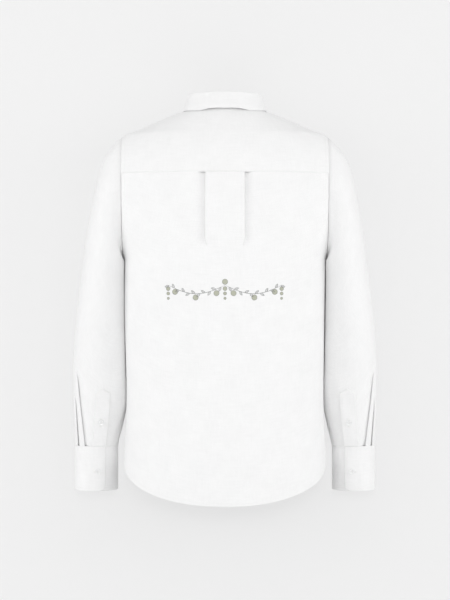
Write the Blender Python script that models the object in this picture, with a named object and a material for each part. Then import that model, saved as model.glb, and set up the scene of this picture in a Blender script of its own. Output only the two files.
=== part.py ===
"""A long-sleeved oxford shirt, buttoned up and filled out as if worn.

The front faces -Y, the back +Y and the wearer's left +X. The origin lies midway between the two points where
the collar seam crosses the shoulders. Sizes are in millimetres, and the meshes are written in metres.

Each piece is the cloth that a maker cuts: a grid of points on the form it hangs to, given its wall by Solidify.
"""

import math
from collections import namedtuple
from functools import lru_cache

import bmesh
import bpy
import numpy as np
from mathutils import Vector

MM = 0.001

# Cloth
SEAM_GAP = 0.3
CLOTH = 1.2
DOUBLE_CLOTH = 1.6
STAND_CLOTH = 1.8

# Body: outline at each height. edge_x is the side seam, then the armhole seam, then the shoulder line.
BodyRing = namedtuple("BodyRing", "z edge_x back_y front_y square")
BODY = (
    BodyRing(-720.0, 185.5, 124.0, 118.0, 2.5),
    BodyRing(-640.0, 185.0, 126.0, 120.0, 2.5),
    BodyRing(-520.0, 180.5, 126.0, 120.0, 2.5),
    BodyRing(-400.0, 182.5, 128.4, 122.4, 2.5),
    BodyRing(-325.0, 184.0, 129.6, 123.4, 2.5),
    BodyRing(-270.0, 185.0, 129.3, 122.6, 2.5),
    BodyRing(-200.0, 185.6, 126.3, 118.4, 2.5),
    BodyRing(-160.0, 186.0, 122.0, 112.0, 2.45),
    BodyRing(-117.0, 186.4, 115.0, 100.0, 2.35),
    BodyRing(-80.0, 186.7, 106.0, 82.0, 2.2),
    BodyRing(-46.0, 187.0, 93.5, 67.0, 2.05),
    BodyRing(-32.0, 156.0, 86.0, 61.0, 2.0),
    BodyRing(-15.5, 119.0, 76.0, 55.0, 2.0),
    BodyRing(-3.6, 90.0, 67.5, 51.0, 2.0),
    BodyRing(2.5, 70.0, 62.0, 48.0, 2.0),
    BodyRing(8.0, 58.0, 56.0, 45.0, 2.0),
)
SHOULDER_Z = -46.0
UNDERARM_Z = -270.0
ARMHOLE_BACK = 70.0
ARMHOLE_FRONT = 66.0
ARMHOLE_SQUARE = 2.2
ARMHOLE_EDGE_INSET = 0.6
SECTION_POINTS = 90
UPPER_BODY_LOWEST_Z = -142.0
HEIGHT_HALVINGS = 24

# Hem: how high its lowest point lies at the middle of the back and of the front, and at the side seams.
HEM_BACK_Z = -708.0
HEM_FRONT_Z = -692.0
HEM_SIDE_Z = -628.0
HEM_CURVE = 2.2

# Yoke and neck
YOKE_SEAM_Z = -117.0
YOKE_FRONT_NECK_Y = -22.0
YOKE_FRONT_ARMHOLE_Y = -28.0
NECK_X = 70.0
NECK_BACK_Y = 62.0
NECK_FRONT_Y = 78.0

# Box pleat: its folds, how far the cloth laps under, and where it has opened out.
PLEAT_FOLD = 33.0
PLEAT_LAP = 12.0
PLEAT_END_Z = -252.0
PLEAT_RAISE = 1.0
FOLD_RADIUS = 0.95
LEAST_LAP = 0.6
PLEAT_OPENING_SHARE = 0.18
PLEAT_FLAT_HALF = 4.0
PLEAT_BESIDE = 4.5
PLEAT_LEVEL_FROM = 30.0
PLEAT_FULL_LAP_ABOVE = 40.0
PLEAT_STRIP_COLUMNS = (0.0, 15.0, 28.0)
BACK_COLUMNS_REST = 8

# Front bands
BAND_HALF = 16.0
BAND_GAP = 0.4
BUTTON_BAND_EDGE = 13.0
BAND_RAMP_END = 44.0
BAND_TOP_DROP = 0.8
BAND_COLUMNS = 3
BAND_UPPER_ROWS = 4

# Collar
STAND_FOOT = 1.6
STAND_HEIGHT_BACK = 24.2
STAND_HEIGHT_FRONT = 23.0
STAND_LEAN = 5.5
STAND_END_TURN = 1.062
STAND_OVERLAP = 1.15
STAND_CORNER_TURN = 0.05
STAND_CORNER_DROP = 0.42
STAND_OVERLAP_FROM = 0.82
STAND_OVERLAP_OVER = 0.12
STAND_ROWS = (0.0, 0.35, 0.7, 1.0)
LEAF_END_TURN = 0.972
LEAF_COLUMNS = 33
STAND_END_COLUMNS = 4
LEAF_LIFT = 1.4
LEAF_LIFT_OVER_BAND = 3.6
LEAF_RAMP_END = 48.0
LEAF_RAMP_WIDTH = 24.0
LeafEdge = namedtuple("LeafEdge", "share x y")
LEAF_EDGE = (
    LeafEdge(-0.20, -42.0, 58.5),
    LeafEdge(0.00, 0.0, 70.0),
    LeafEdge(0.20, 42.0, 58.5),
    LeafEdge(0.38, 70.0, 28.0),
    LeafEdge(0.50, 76.5, 0.0),
    LeafEdge(0.66, 75.0, -34.0),
    LeafEdge(0.84, 62.0, -70.0),
    LeafEdge(1.00, 43.0, -99.0),
)

# Sleeve: outermost and innermost point of each ring, and its depth to the back and to the front.
SleeveRing = namedtuple("SleeveRing", "outer_x outer_z inner_x inner_z back_y front_y square")
SLEEVE = (
    SleeveRing(196.0, -52.5, 187.3, -269.8, 70.0, -66.0, 2.2),
    SleeveRing(208.5, -66.5, 188.2, -271.6, 72.0, -68.0, 2.2),
    SleeveRing(221.5, -86.0, 188.5, -275.0, 74.0, -71.0, 2.2),
    SleeveRing(231.5, -115.0, 188.5, -280.0, 75.0, -73.5, 2.2),
    SleeveRing(240.5, -157.0, 188.3, -288.0, 75.0, -75.0, 2.2),
    SleeveRing(249.5, -203.0, 188.0, -300.0, 73.0, -76.0, 2.2),
    SleeveRing(258.0, -255.0, 187.5, -322.0, 70.0, -76.5, 2.2),
    SleeveRing(265.5, -308.0, 187.0, -354.0, 65.0, -77.0, 2.2),
    SleeveRing(272.5, -366.0, 186.5, -394.0, 58.0, -77.0, 2.2),
    SleeveRing(277.5, -422.0, 186.0, -436.0, 49.0, -76.5, 2.2),
    SleeveRing(280.0, -476.0, 186.0, -482.0, 39.0, -76.0, 2.2),
    SleeveRing(280.0, -527.0, 187.0, -528.0, 29.0, -75.0, 2.2),
    SleeveRing(279.0, -572.0, 191.0, -572.0, 20.0, -72.0, 2.2),
    SleeveRing(277.5, -611.6, 197.5, -611.6, 12.0, -68.0, 2.2),
)
SLEEVE_COLUMNS_REST = 16
SLEEVE_LEVELS = tuple(range(1, 11)) + (10.5, 10.75, 11, 11.25, 11.5, 11.75, 12, 12.5, 13, 13.5, 14)
# Above its pleats the sleeve's columns spread out, the pleated ones over this turn.
SPREAD_TURN = 0.36
SPREAD_FROM_Z = -446.0
SPREAD_TO_Z = -290.0
ARMHOLE_SHIFT = 0.7
ARMHOLE_INSET = 0.9

# Sleeve pleats: where each fold starts at the cuff and ends above it, in turns round the sleeve from its outer
# line towards the back, and how far it laps under at the cuff.
SLEEVE_OPENING_SHARE = 0.3
SLEEVE_FLAT_HALF = 3.0
SLEEVE_BESIDE = 4.5
SLEEVE_FLAT_BESIDE = 3.3
SleevePleat = namedtuple("SleevePleat", "cuff_turn top_turn top_z lap")
SLEEVE_PLEATS = (
    SleevePleat(0.0875, 0.0700, -506.0, 7.5),
    SleevePleat(0.1640, 0.0950, -452.0, 8.0),
)

# Cuff and gauntlet
CUFF_TOP_Z = -612.0
CUFF_BOTTOM_Z = -693.0
CUFF_OVER_TURN = 0.325
CUFF_UNDER_TURN = -0.792
CUFF_SPIRAL = 1.15
CUFF_CORNER = 12.0
CUFF_COLUMNS = 27
CUFF_CORNER_ANGLES = (30, 52, 72, 90)
CUFF_ROWS = (0.0, 0.3, 0.6, 0.82, 1.0)
CUFF_BUTTON_TURN = 0.272
CUFF_BUTTON_Z = -658.0
GAUNTLET_EDGE_TURN = 0.327
GAUNTLET_WIDTH = 27.0
GAUNTLET_TOP_Z = -512.0
GAUNTLET_POINT = 9.0
GAUNTLET_GAP = 0.7
GAUNTLET_BUTTON_Z = -567.0
GAUNTLET_BUTTON_OFF = 0.5
GAUNTLET_FOOT = 0.6
GAUNTLET_ROWS = 9
GAUNTLET_COLUMNS = 4

# Buttons
FRONT_BUTTONS = 6
FRONT_BUTTON_TOP_Z = -114.0
FRONT_BUTTON_STEP = 88.0
FRONT_BUTTON = 11.0
SMALL_BUTTON = 10.0
BUTTON_THICK = 2.4
BUTTON_DISH = 0.6
BUTTON_SIDES = 12

Finish = namedtuple("Finish", "name colour roughness")
OXFORD = Finish("white_oxford", (0.86, 0.86, 0.85), 0.85)
PEARL = Finish("pearl_button", (0.88, 0.88, 0.86), 0.25)


class Curve:
    """A smooth curve through values at rising places, which never passes above or below them."""

    def __init__(self, places, values):
        self.places = np.array(places, float)
        self.values = np.array(values, float)
        slope = np.diff(self.values) / np.diff(self.places)
        self.tangents = np.concatenate([slope[:1], np.zeros(len(slope) - 1), slope[-1:]])
        before, after = slope[:-1], slope[1:]
        bends = before * after > 0
        mean = 2 * before * after / np.where(bends, before + after, 1.0)
        self.tangents[1:-1] = np.where(bends, mean, 0.0)

    def __call__(self, place):
        place = np.clip(place, self.places[0], self.places[-1])
        low = np.clip(np.searchsorted(self.places, place) - 1, 0, len(self.places) - 2)
        span = self.places[low + 1] - self.places[low]
        t = (place - self.places[low]) / span
        start, end = self.values[low], self.values[low + 1]
        rise, fall = self.tangents[low] * span, self.tangents[low + 1] * span
        return (
            start * (1 + 2 * t) * (1 - t) ** 2
            + rise * t * (1 - t) ** 2
            + end * t * t * (3 - 2 * t)
            - fall * t * t * (1 - t)
        )


def curves(rows, key, columns):
    """A curve for each named column of a table, by its key column."""
    places = [getattr(row, key) for row in rows]
    return {name: Curve(places, [getattr(row, name) for row in rows]) for name in columns}


BODY_CURVES = curves(BODY, "z", ("edge_x", "back_y", "front_y", "square"))
LEAF_CURVES = curves(LEAF_EDGE, "share", ("x", "y"))
SLEEVE_CURVES = {
    name: Curve(range(1, len(SLEEVE) + 1), [getattr(ring, name) for ring in SLEEVE])
    for name in SleeveRing._fields
}


def mix(start, end, share):
    return start + (end - start) * share


def ease(share):
    """0 to 1, level at both ends."""
    share = min(max(share, 0.0), 1.0)
    return share * share * (3 - 2 * share)


def unit(vector):
    return vector / np.linalg.norm(vector)


# The body's form


def armhole_depth(z, back):
    """How far the armhole's seam stands to the back or the front at height z."""
    middle = (SHOULDER_Z + UNDERARM_Z) / 2
    half = (SHOULDER_Z - UNDERARM_Z) / 2
    rise = np.clip(np.abs((z - middle) / half), 0.0, 1.0)
    depth = ARMHOLE_BACK if back else ARMHOLE_FRONT
    return depth * (1 - rise**ARMHOLE_SQUARE) ** (1 / ARMHOLE_SQUARE)


def outline(z, back):
    """The body's outline at height z: its reach past the armhole, depth, squareness and seam point."""
    depth = BODY_CURVES["back_y" if back else "front_y"](z)
    square = BODY_CURVES["square"](z)
    edge_x = BODY_CURVES["edge_x"](z)
    edge_y = armhole_depth(z, back)
    reach = edge_x / (1 - (edge_y / depth) ** square) ** (1 / square)
    return reach, depth, square, edge_x, edge_y


@lru_cache(maxsize=None)
def section(z, back):
    """Points of the outline at height z from the centre line to the seam, and how far along it each is."""
    reach, depth, square, edge_x, _ = outline(z, back)
    last = math.asin(min((edge_x / reach) ** (square / 2), 1.0))
    angle = np.linspace(0.0, last, SECTION_POINTS)
    x = reach * np.sin(angle) ** (2 / square)
    y = depth * np.maximum(np.cos(angle), 0.0) ** (2 / square) * (1 if back else -1)
    along = np.concatenate([[0.0], np.cumsum(np.hypot(np.diff(x), np.diff(y)))])
    return x, y, along


def section_length(z, back):
    return float(section(round(float(z), 4), back)[2][-1])


def on_body(along, z, back):
    """The point of the outer face that lies along mm from the centre line at height z."""
    x, y, distances = section(round(float(z), 4), back)
    side = -1.0 if along < 0 else 1.0
    reached = abs(along)
    return np.array([side * np.interp(reached, distances, x), np.interp(reached, distances, y), z])


def body_normal(along, z, back):
    reach = section_length(z, back) - 1.5
    near = math.copysign(min(abs(along), reach), along)
    across = on_body(near + 1, z, back) - on_body(near - 1, z, back)
    upward = on_body(near, z + 1, back) - on_body(near, z - 1, back)
    return unit(np.cross(across, upward)) * (-1 if back else 1)


def body_point(along, z, lift, back):
    return on_body(along, z, back) + lift * body_normal(along, z, back)


def body_height(x, y):
    """How high the body's outer face lies over (x, y), on the shoulders, round the neck and on the upper chest."""
    x, y = np.broadcast_arrays(np.abs(np.asarray(x, float)), np.asarray(y, float))
    low = np.full(x.shape, UPPER_BODY_LOWEST_Z)
    high = np.full(x.shape, BODY[-1].z)
    for _ in range(HEIGHT_HALVINGS):
        middle = (low + high) / 2
        inside = np.zeros(x.shape, bool)
        for back in (True, False):
            reach, depth, square, _, _ = outline(middle, back)
            within = (x / reach) ** square + (np.abs(y) / depth) ** square <= 1
            inside |= within & ((y >= 0) == back)
        low = np.where(inside, middle, low)
        high = np.where(inside, high, middle)
    return (low + high) / 2


def upper_normal(x, y):
    """The outward normal of the face over (x, y)."""
    step = 0.5
    east, west, north, south = body_height(
        [x + step, x - step, x, x], [y, y, y + step, y - step]
    )
    return unit(np.array([(west - east) / (2 * step), (south - north) / (2 * step), 1.0]))


def upper_point(x, y, lift):
    return np.array([x, y, float(body_height(x, y))]) + lift * upper_normal(x, y)


def evenly_spaced(points, count):
    """The path's points spaced evenly along it."""
    points = np.asarray(points, float)
    along = np.concatenate([[0.0], np.cumsum(np.linalg.norm(np.diff(points, axis=0), axis=1))])
    wanted = np.linspace(0.0, along[-1], count)
    return np.stack([np.interp(wanted, along, points[:, axis]) for axis in range(3)], axis=1)


def over_body(start, end, count, lift):
    """count points from start to end, given by x and y, along the face of the upper body."""
    shares = np.linspace(0.0, 1.0, 40)
    x, y = mix(start[0], end[0], shares), mix(start[1], end[1], shares)
    path = evenly_spaced(np.stack([x, y, body_height(x, y)], axis=1), count)
    return [upper_point(point[0], point[1], lift) for point in path]


def armhole_point(turn, shift=0.0, inset=0.0):
    """The armhole's seam at a turn from the shoulder, through the back at a quarter and the underarm at a half."""
    angles = np.linspace(0.0, math.pi, 120)
    half = (SHOULDER_Z - UNDERARM_Z) / 2 - inset
    back = turn % 1.0 <= 0.5
    depth = (ARMHOLE_BACK if back else -ARMHOLE_FRONT) * (1 - inset / ARMHOLE_BACK)
    power = 2 / ARMHOLE_SQUARE
    z = (SHOULDER_Z + UNDERARM_Z) / 2 + half * np.sign(np.cos(angles)) * np.abs(np.cos(angles)) ** power
    y = depth * np.sin(angles) ** power
    along = np.concatenate([[0.0], np.cumsum(np.hypot(np.diff(y), np.diff(z)))])
    share = turn % 1.0 * 2 if back else 2 - turn % 1.0 * 2
    height = float(np.interp(share * along[-1], along, z))
    depth_there = float(np.interp(share * along[-1], along, y))
    return np.array([float(BODY_CURVES["edge_x"](min(height, SHOULDER_Z))) + shift, depth_there, height])


# Making the pieces


def material(finish):
    made = bpy.data.materials.new(finish.name)
    made.use_nodes = True
    shader = made.node_tree.nodes["Principled BSDF"]
    shader.inputs["Base Color"].default_value = (*finish.colour, 1.0)
    shader.inputs["Roughness"].default_value = finish.roughness
    shader.inputs["Metallic"].default_value = 0.0
    return made


def add_object(name, bm, finish, shirt):
    """An object for the finished bmesh, smooth but for its sharp edges, under the shirt's empty."""
    mesh = bpy.data.meshes.new(name)
    bm.to_mesh(mesh)
    bm.free()
    mesh.shade_smooth()
    mesh.set_sharp_from_angle(angle=math.radians(50))
    mesh.materials.append(material(finish._replace(name=f"{finish.name}_{name}")))
    piece = bpy.data.objects.new(name, mesh)
    piece.parent = shirt
    bpy.context.scene.collection.objects.link(piece)
    return piece


def cloth(name, rows, wall, shirt, ring=False, folded=False):
    """A piece of cloth through rows of points, its wall half on each side of them, a little thinner round folds."""
    bm = bmesh.new()
    grid = [[bm.verts.new(Vector(point) * MM) for point in row] for row in rows]
    for low, high in zip(grid, grid[1:]):
        pairs = list(zip(low, high))
        if ring:
            pairs.append(pairs[0])
        for (a, d), (b, c) in zip(pairs, pairs[1:]):
            bm.faces.new((a, b, c, d))
    bmesh.ops.recalc_face_normals(bm, faces=bm.faces)
    bmesh.ops.triangulate(bm, faces=bm.faces, quad_method="SHORT_EDGE")
    piece = add_object(name, bm, OXFORD, shirt)
    thickness = piece.modifiers.new("Wall", "SOLIDIFY")
    thickness.thickness = wall * MM
    thickness.offset = 0.0
    thickness.use_even_offset = not folded
    thickness.use_quality_normals = True
    return piece


def mirrored(rows):
    return [[np.array([-point[0], point[1], point[2]]) for point in row] for row in rows]


def fold(edge, lap, opening, flat_half):
    """A fold's points (along, lift): over its edge, back under by the lap, and on below, or opened out flat."""
    arc = [math.radians(angle) for angle in (90, 0, -90)]
    over = [(edge + FOLD_RADIUS * math.cos(a), FOLD_RADIUS * (math.sin(a) - 1)) for a in arc]
    under = [(edge - lap - FOLD_RADIUS * math.cos(a), FOLD_RADIUS * (math.sin(a) - 3)) for a in arc]
    folded = over + under
    flat = np.linspace(edge - flat_half, edge + flat_half, len(folded))
    return [(mix(u, v, opening), mix(h, 0.0, opening)) for (u, h), v in zip(folded, flat)]


def fold_state(share, lap, opening_share):
    """The lap and the opening of a fold at a share of the way from where it has opened out to its seam."""
    return max(lap * min(share, 1.0), LEAST_LAP), 1 - ease(share / opening_share)


# Back


def hem_z(share, middle_z):
    """The hem's height at a share of the way from the centre line to the side seam."""
    return mix(middle_z, HEM_SIDE_Z, abs(share) ** HEM_CURVE)


# Heights at the side seam and the armhole of the rows of points that the back and the fronts share.
EDGE_HEIGHTS = (
    HEM_SIDE_Z, -592.0, -545.0, -490.0, -430.0, -370.0, -325.0, -290.0, UNDERARM_Z,
    -267.0, -261.0, -250.0, -232.0, -208.0, -180.0, -150.0, YOKE_SEAM_Z,
)


def row_shares():
    return [(z - HEM_SIDE_Z) / (YOKE_SEAM_Z - HEM_SIDE_Z) for z in EDGE_HEIGHTS]


def back_half_path(z, length):
    """(along, lift) from the centre line out to the seam, through one fold of the box pleat."""
    share = (z - PLEAT_END_Z) / (YOKE_SEAM_Z - PLEAT_FULL_LAP_ABOVE - PLEAT_END_Z)
    lap, opening = fold_state(share, PLEAT_LAP, PLEAT_OPENING_SHARE)
    raise_now = PLEAT_RAISE * (1 - opening)
    drop = (PLEAT_RAISE - 4 * FOLD_RADIUS) * (1 - opening)
    folded = [(u, h + raise_now) for u, h in fold(PLEAT_FOLD, lap, opening, PLEAT_FLAT_HALF)]
    beyond = PLEAT_FOLD + PLEAT_BESIDE
    level_from = beyond + PLEAT_LEVEL_FROM
    path = [(along, raise_now) for along in PLEAT_STRIP_COLUMNS] + folded
    path += [(beyond, drop), (mix(beyond, level_from, 0.4), drop * 0.6), (level_from, 0.0)]
    steps = BACK_COLUMNS_REST
    path += [(mix(level_from, length, k / steps), 0.0) for k in range(1, steps + 1)]
    return path


def back_rows():
    rows = []
    top = YOKE_SEAM_Z - SEAM_GAP / 2
    for share in row_shares():
        edge_length = section_length(mix(HEM_SIDE_Z, top, share), True)
        row = []
        for along, lift in back_half_path(mix(HEM_BACK_Z, top, share), edge_length - SEAM_GAP / 2):
            z = mix(hem_z(along / edge_length, HEM_BACK_Z), top, share)
            length = section_length(z, True)
            reached = along * mix(1.0, length / edge_length, ease(along / edge_length))
            row.append(body_point(min(reached, length - SEAM_GAP / 2), z, lift - CLOTH / 2, True))
        rows.append([point * (-1, 1, 1) for point in reversed(row[1:])] + row)
    return rows


# Yoke


def neckline(turn):
    """x and y of the collar seam, from the middle of the back at 0 to the middle of the front at 1."""
    angle = math.pi * turn
    depth = NECK_BACK_Y if math.cos(angle) >= 0 else NECK_FRONT_Y
    return NECK_X * math.sin(angle), depth * math.cos(angle)


def neck_turn_at_front_y(y):
    return math.acos(y / NECK_FRONT_Y) / math.pi


def armhole_turn_at_front_y(y):
    """The turn round the armhole, ahead of the shoulder, at which its seam stands at y."""
    turns = np.linspace(1.0, 0.85, 60)
    depths = [-armhole_point(turn)[1] for turn in turns]
    return float(np.interp(-y, depths, turns))


def armhole_turn_at_back_z(z):
    turns = np.linspace(0.0, 0.3, 90)
    heights = [-armhole_point(turn)[2] for turn in turns]
    return float(np.interp(-z, heights, turns))


NECK_COLUMNS = 8
SHOULDER_COLUMNS = 6
YOKE_ROWS = 9
YOKE_NECK_SHARE = 0.52


def yoke_half():
    """Columns of the yoke from the middle of the back to the armhole, each from the back seam up and over."""
    lift = -DOUBLE_CLOTH / 2
    seam_z = YOKE_SEAM_Z + SEAM_GAP / 2
    length = section_length(seam_z, True)
    columns = []
    last_turn = neck_turn_at_front_y(YOKE_FRONT_NECK_Y)
    for k in range(NECK_COLUMNS + 1):
        share = k / NECK_COLUMNS
        start = on_body(length * YOKE_NECK_SHARE * share, seam_z, True)
        columns.append(over_body(start, neckline(last_turn * share), YOKE_ROWS, lift))
    neck_x, _ = neckline(last_turn)
    for k in range(1, SHOULDER_COLUMNS):
        share = k / SHOULDER_COLUMNS
        start = on_body(length * mix(YOKE_NECK_SHARE, 1.0, share), seam_z, True)
        end = (
            mix(neck_x, BODY_CURVES["edge_x"](SHOULDER_Z), share),
            mix(YOKE_FRONT_NECK_Y, YOKE_FRONT_ARMHOLE_Y, share),
        )
        columns.append(over_body(start, end, YOKE_ROWS, lift))
    first = armhole_turn_at_back_z(seam_z)
    last = armhole_turn_at_front_y(YOKE_FRONT_ARMHOLE_Y) - 1.0
    turns = np.linspace(first, last, YOKE_ROWS)
    columns.append([armhole_point(turn, inset=ARMHOLE_EDGE_INSET) for turn in turns])
    return columns


def yoke_rows():
    half = yoke_half()
    rows = []
    for level in range(YOKE_ROWS):
        row = [column[level] for column in half]
        row[0][0] = 0.0
        rows.append([point * (-1, 1, 1) for point in reversed(row[1:])] + row)
    return rows


# Fronts

FRONT_NECK_COLUMNS = 5
FRONT_SHOULDER_COLUMNS = 6
FRONT_NECK_SHARE = 0.36
FRONT_UPPER_ROWS = 6


def front_lift(along, over):
    """The left front rises to its band's level near the band."""
    if not over:
        return -CLOTH / 2
    rise = ease((BAND_RAMP_END - along) / (BAND_RAMP_END - BAND_HALF))
    return -CLOTH / 2 + rise * (BAND_GAP + DOUBLE_CLOTH)


def front_tops():
    """x and y where each column of a front ends: on the collar seam, then on the yoke's front seam."""
    first = math.pi - math.asin((BAND_HALF + SEAM_GAP) / NECK_X)
    last = neck_turn_at_front_y(YOKE_FRONT_NECK_Y - SEAM_GAP)
    tops = [neckline(mix(first / math.pi, last, k / FRONT_NECK_COLUMNS)) for k in range(FRONT_NECK_COLUMNS + 1)]
    neck_x = tops[-1][0]
    for k in range(1, FRONT_SHOULDER_COLUMNS + 1):
        share = k / FRONT_SHOULDER_COLUMNS
        x = mix(neck_x, BODY_CURVES["edge_x"](SHOULDER_Z), share)
        tops.append((x, mix(YOKE_FRONT_NECK_Y, YOKE_FRONT_ARMHOLE_Y, share) - SEAM_GAP))
    return tops


def front_rows(over):
    """A front from its hem to the yoke's height, then up to the collar and yoke seams."""
    start = BAND_HALF + SEAM_GAP
    columns = FRONT_NECK_COLUMNS + FRONT_SHOULDER_COLUMNS
    shares = [FRONT_NECK_SHARE * k / FRONT_NECK_COLUMNS for k in range(FRONT_NECK_COLUMNS + 1)]
    shares += [mix(FRONT_NECK_SHARE, 1.0, k / FRONT_SHOULDER_COLUMNS) for k in range(1, FRONT_SHOULDER_COLUMNS + 1)]
    rows = []
    for level in row_shares():
        row = []
        for share in shares:
            z = mix(hem_z(share, HEM_FRONT_Z), YOKE_SEAM_Z, level)
            along = mix(start, section_length(z, False) - SEAM_GAP / 2, share)
            row.append(body_point(along, z, front_lift(along, over), False))
        rows.append(row)
    length = section_length(YOKE_SEAM_Z, False) - SEAM_GAP / 2
    upper = []
    for share, top in zip(shares[:-1], front_tops()[:-1]):
        along = mix(start, length, share)
        foot = on_body(along, YOKE_SEAM_Z, False)
        path = over_body(foot, top, FRONT_UPPER_ROWS + 1, 0.0)
        upper.append([
            upper_point(point[0], point[1], front_lift(point[0], over)) for point in path
        ])
    first = 1.0 - armhole_turn_at_back_z(YOKE_SEAM_Z)
    last = armhole_turn_at_front_y(YOKE_FRONT_ARMHOLE_Y - SEAM_GAP)
    steps = FRONT_UPPER_ROWS
    upper.append([armhole_point(mix(first, last, k / steps), inset=ARMHOLE_EDGE_INSET) for k in range(steps + 1)])
    for level in range(1, steps + 1):
        rows.append([column[level] for column in upper])
    return rows


def band_rows(first, last, lift):
    """A front band between two distances from the centre line, from the hem to the collar seam."""
    columns = [mix(first, last, k / BAND_COLUMNS) for k in range(BAND_COLUMNS + 1)]
    heights = row_shares() + [1.0 + k / BAND_UPPER_ROWS for k in range(1, BAND_UPPER_ROWS + 1)]
    length = section_length(HEM_SIDE_Z, False)
    rows = []
    for level in heights:
        row = []
        for along in columns:
            low = hem_z(along / length, HEM_FRONT_Z)
            neck_y = NECK_FRONT_Y * math.sqrt(1 - (along / NECK_X) ** 2)
            neck_z = float(body_height(along, -neck_y)) - BAND_TOP_DROP
            z = mix(low, YOKE_SEAM_Z, level) if level <= 1 else mix(YOKE_SEAM_Z, neck_z, level - 1)
            row.append(body_point(along, z, lift, False))
        rows.append(row)
    return rows


# Collar


def stand_point(turn, height_share, lift):
    """A point of the collar stand: round the neck, up its height, and out from its middle."""
    x, y = neckline(abs(turn))
    x = math.copysign(1.0, turn) * x
    foot_z = float(body_height(x, y)) + STAND_FOOT
    forward = ease((abs(turn) - 0.4) / 0.5)
    height = mix(STAND_HEIGHT_BACK, STAND_HEIGHT_FRONT, forward)
    centre = np.array([0.0, (NECK_BACK_Y - NECK_FRONT_Y) / 2])
    outward = unit(np.array([x / NECK_X**2, (y - centre[1]) / NECK_FRONT_Y**2]))
    inward = STAND_LEAN * height_share - lift
    return np.array([x - outward[0] * inward, y - outward[1] * inward, foot_z + height * height_share])


def leaf_turns():
    """The columns that the leaf and the stand share round the neck."""
    return LEAF_END_TURN * np.linspace(-1.0, 1.0, LEAF_COLUMNS)


def stand_lift(turn):
    """The left end laps over the right end at the front."""
    return STAND_OVERLAP * math.copysign(ease((abs(turn) - STAND_OVERLAP_FROM) / STAND_OVERLAP_OVER), turn)


def stand_rows():
    end = [mix(LEAF_END_TURN, STAND_END_TURN, k / STAND_END_COLUMNS) for k in range(1, STAND_END_COLUMNS + 1)]
    turns = [-turn for turn in reversed(end)] + list(leaf_turns()) + end
    rows = []
    for share in STAND_ROWS:
        row = []
        for turn in turns:
            into = (abs(turn) - (STAND_END_TURN - STAND_CORNER_TURN)) / STAND_CORNER_TURN
            rounding = 1 - STAND_CORNER_DROP * (1 - math.sqrt(max(1 - max(into, 0.0) ** 2, 0.0)))
            row.append(stand_point(turn, share * rounding, stand_lift(turn)))
        rows.append(row)
    return rows


def leaf_lift(x):
    return mix(LEAF_LIFT, LEAF_LIFT_OVER_BAND, ease((LEAF_RAMP_END - abs(x)) / LEAF_RAMP_WIDTH))


def clear_of_body(point):
    """The point, moved out of the yoke and fronts where it would touch them."""
    height = float(body_height(point[0], point[1]))
    normal = upper_normal(point[0], point[1])
    distance = (point[2] - height) * normal[2]
    return point + max(leaf_lift(point[0]) - distance, 0.0) * normal


# The leaf's fold over the stand's top edge: out from its middle, and up from it.
LeafFold = namedtuple("LeafFold", "out up")
LEAF_FOLD = (LeafFold(0.2, 1.9), LeafFold(1.4, 3.0), LeafFold(3.0, 2.8), LeafFold(4.2, 1.0))
LEAF_FALL = (0.25, 0.5, 0.75, 1.0)


def leaf_rows():
    columns = []
    for turn in leaf_turns():
        share = turn / LEAF_END_TURN
        top = stand_point(turn, 1.0, 0.0)
        outward = stand_point(turn, 1.0, 1.0) - top
        column = [top + outward * step.out + np.array([0.0, 0.0, step.up]) for step in LEAF_FOLD]
        side = math.copysign(1.0, share)
        edge_x, edge_y = side * float(LEAF_CURVES["x"](abs(share))), float(LEAF_CURVES["y"](abs(share)))
        edge = upper_point(edge_x, edge_y, leaf_lift(edge_x))
        start = column[-1]
        column += [clear_of_body(mix(start, edge, fall)) for fall in LEAF_FALL]
        columns.append(column)
    return [[column[level] for column in columns] for level in range(len(columns[0]))]


# Sleeves


@lru_cache(maxsize=None)
def sleeve_ring(level):
    """Points round the sleeve at a level of its table, from its outer line through the back, and their places."""
    ring = SleeveRing(**{name: float(curve(level)) for name, curve in SLEEVE_CURVES.items()})
    angles = np.linspace(0.0, 2 * math.pi, 241)
    power = 2 / ring.square
    out = np.sign(np.cos(angles)) * np.abs(np.cos(angles)) ** power
    back = np.sign(np.sin(angles)) * np.abs(np.sin(angles)) ** power
    x = (ring.outer_x + ring.inner_x) / 2 + out * (ring.outer_x - ring.inner_x) / 2
    z = (ring.outer_z + ring.inner_z) / 2 + out * (ring.outer_z - ring.inner_z) / 2
    y = (ring.back_y + ring.front_y) / 2 + back * (ring.back_y - ring.front_y) / 2
    points = np.stack([x, y, z], axis=1)
    along = np.concatenate([[0.0], np.cumsum(np.linalg.norm(np.diff(points, axis=0), axis=1))])
    return points, along


def on_sleeve(turn, level):
    points, along = sleeve_ring(round(level, 4))
    reached = turn % 1.0 * along[-1]
    return np.array([np.interp(reached, along, points[:, axis]) for axis in range(3)])


def sleeve_girth(level):
    return float(sleeve_ring(round(level, 4))[1][-1])


def sleeve_point(turn, level, lift):
    """A point of the left sleeve's outer face, moved out by lift."""
    around = on_sleeve(turn + 0.005, level) - on_sleeve(turn - 0.005, level)
    downward = on_sleeve(turn, min(level + 0.05, len(SLEEVE))) - on_sleeve(turn, max(level - 0.05, 1.0))
    return on_sleeve(turn, level) + lift * unit(np.cross(around, downward)) * -1


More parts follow.
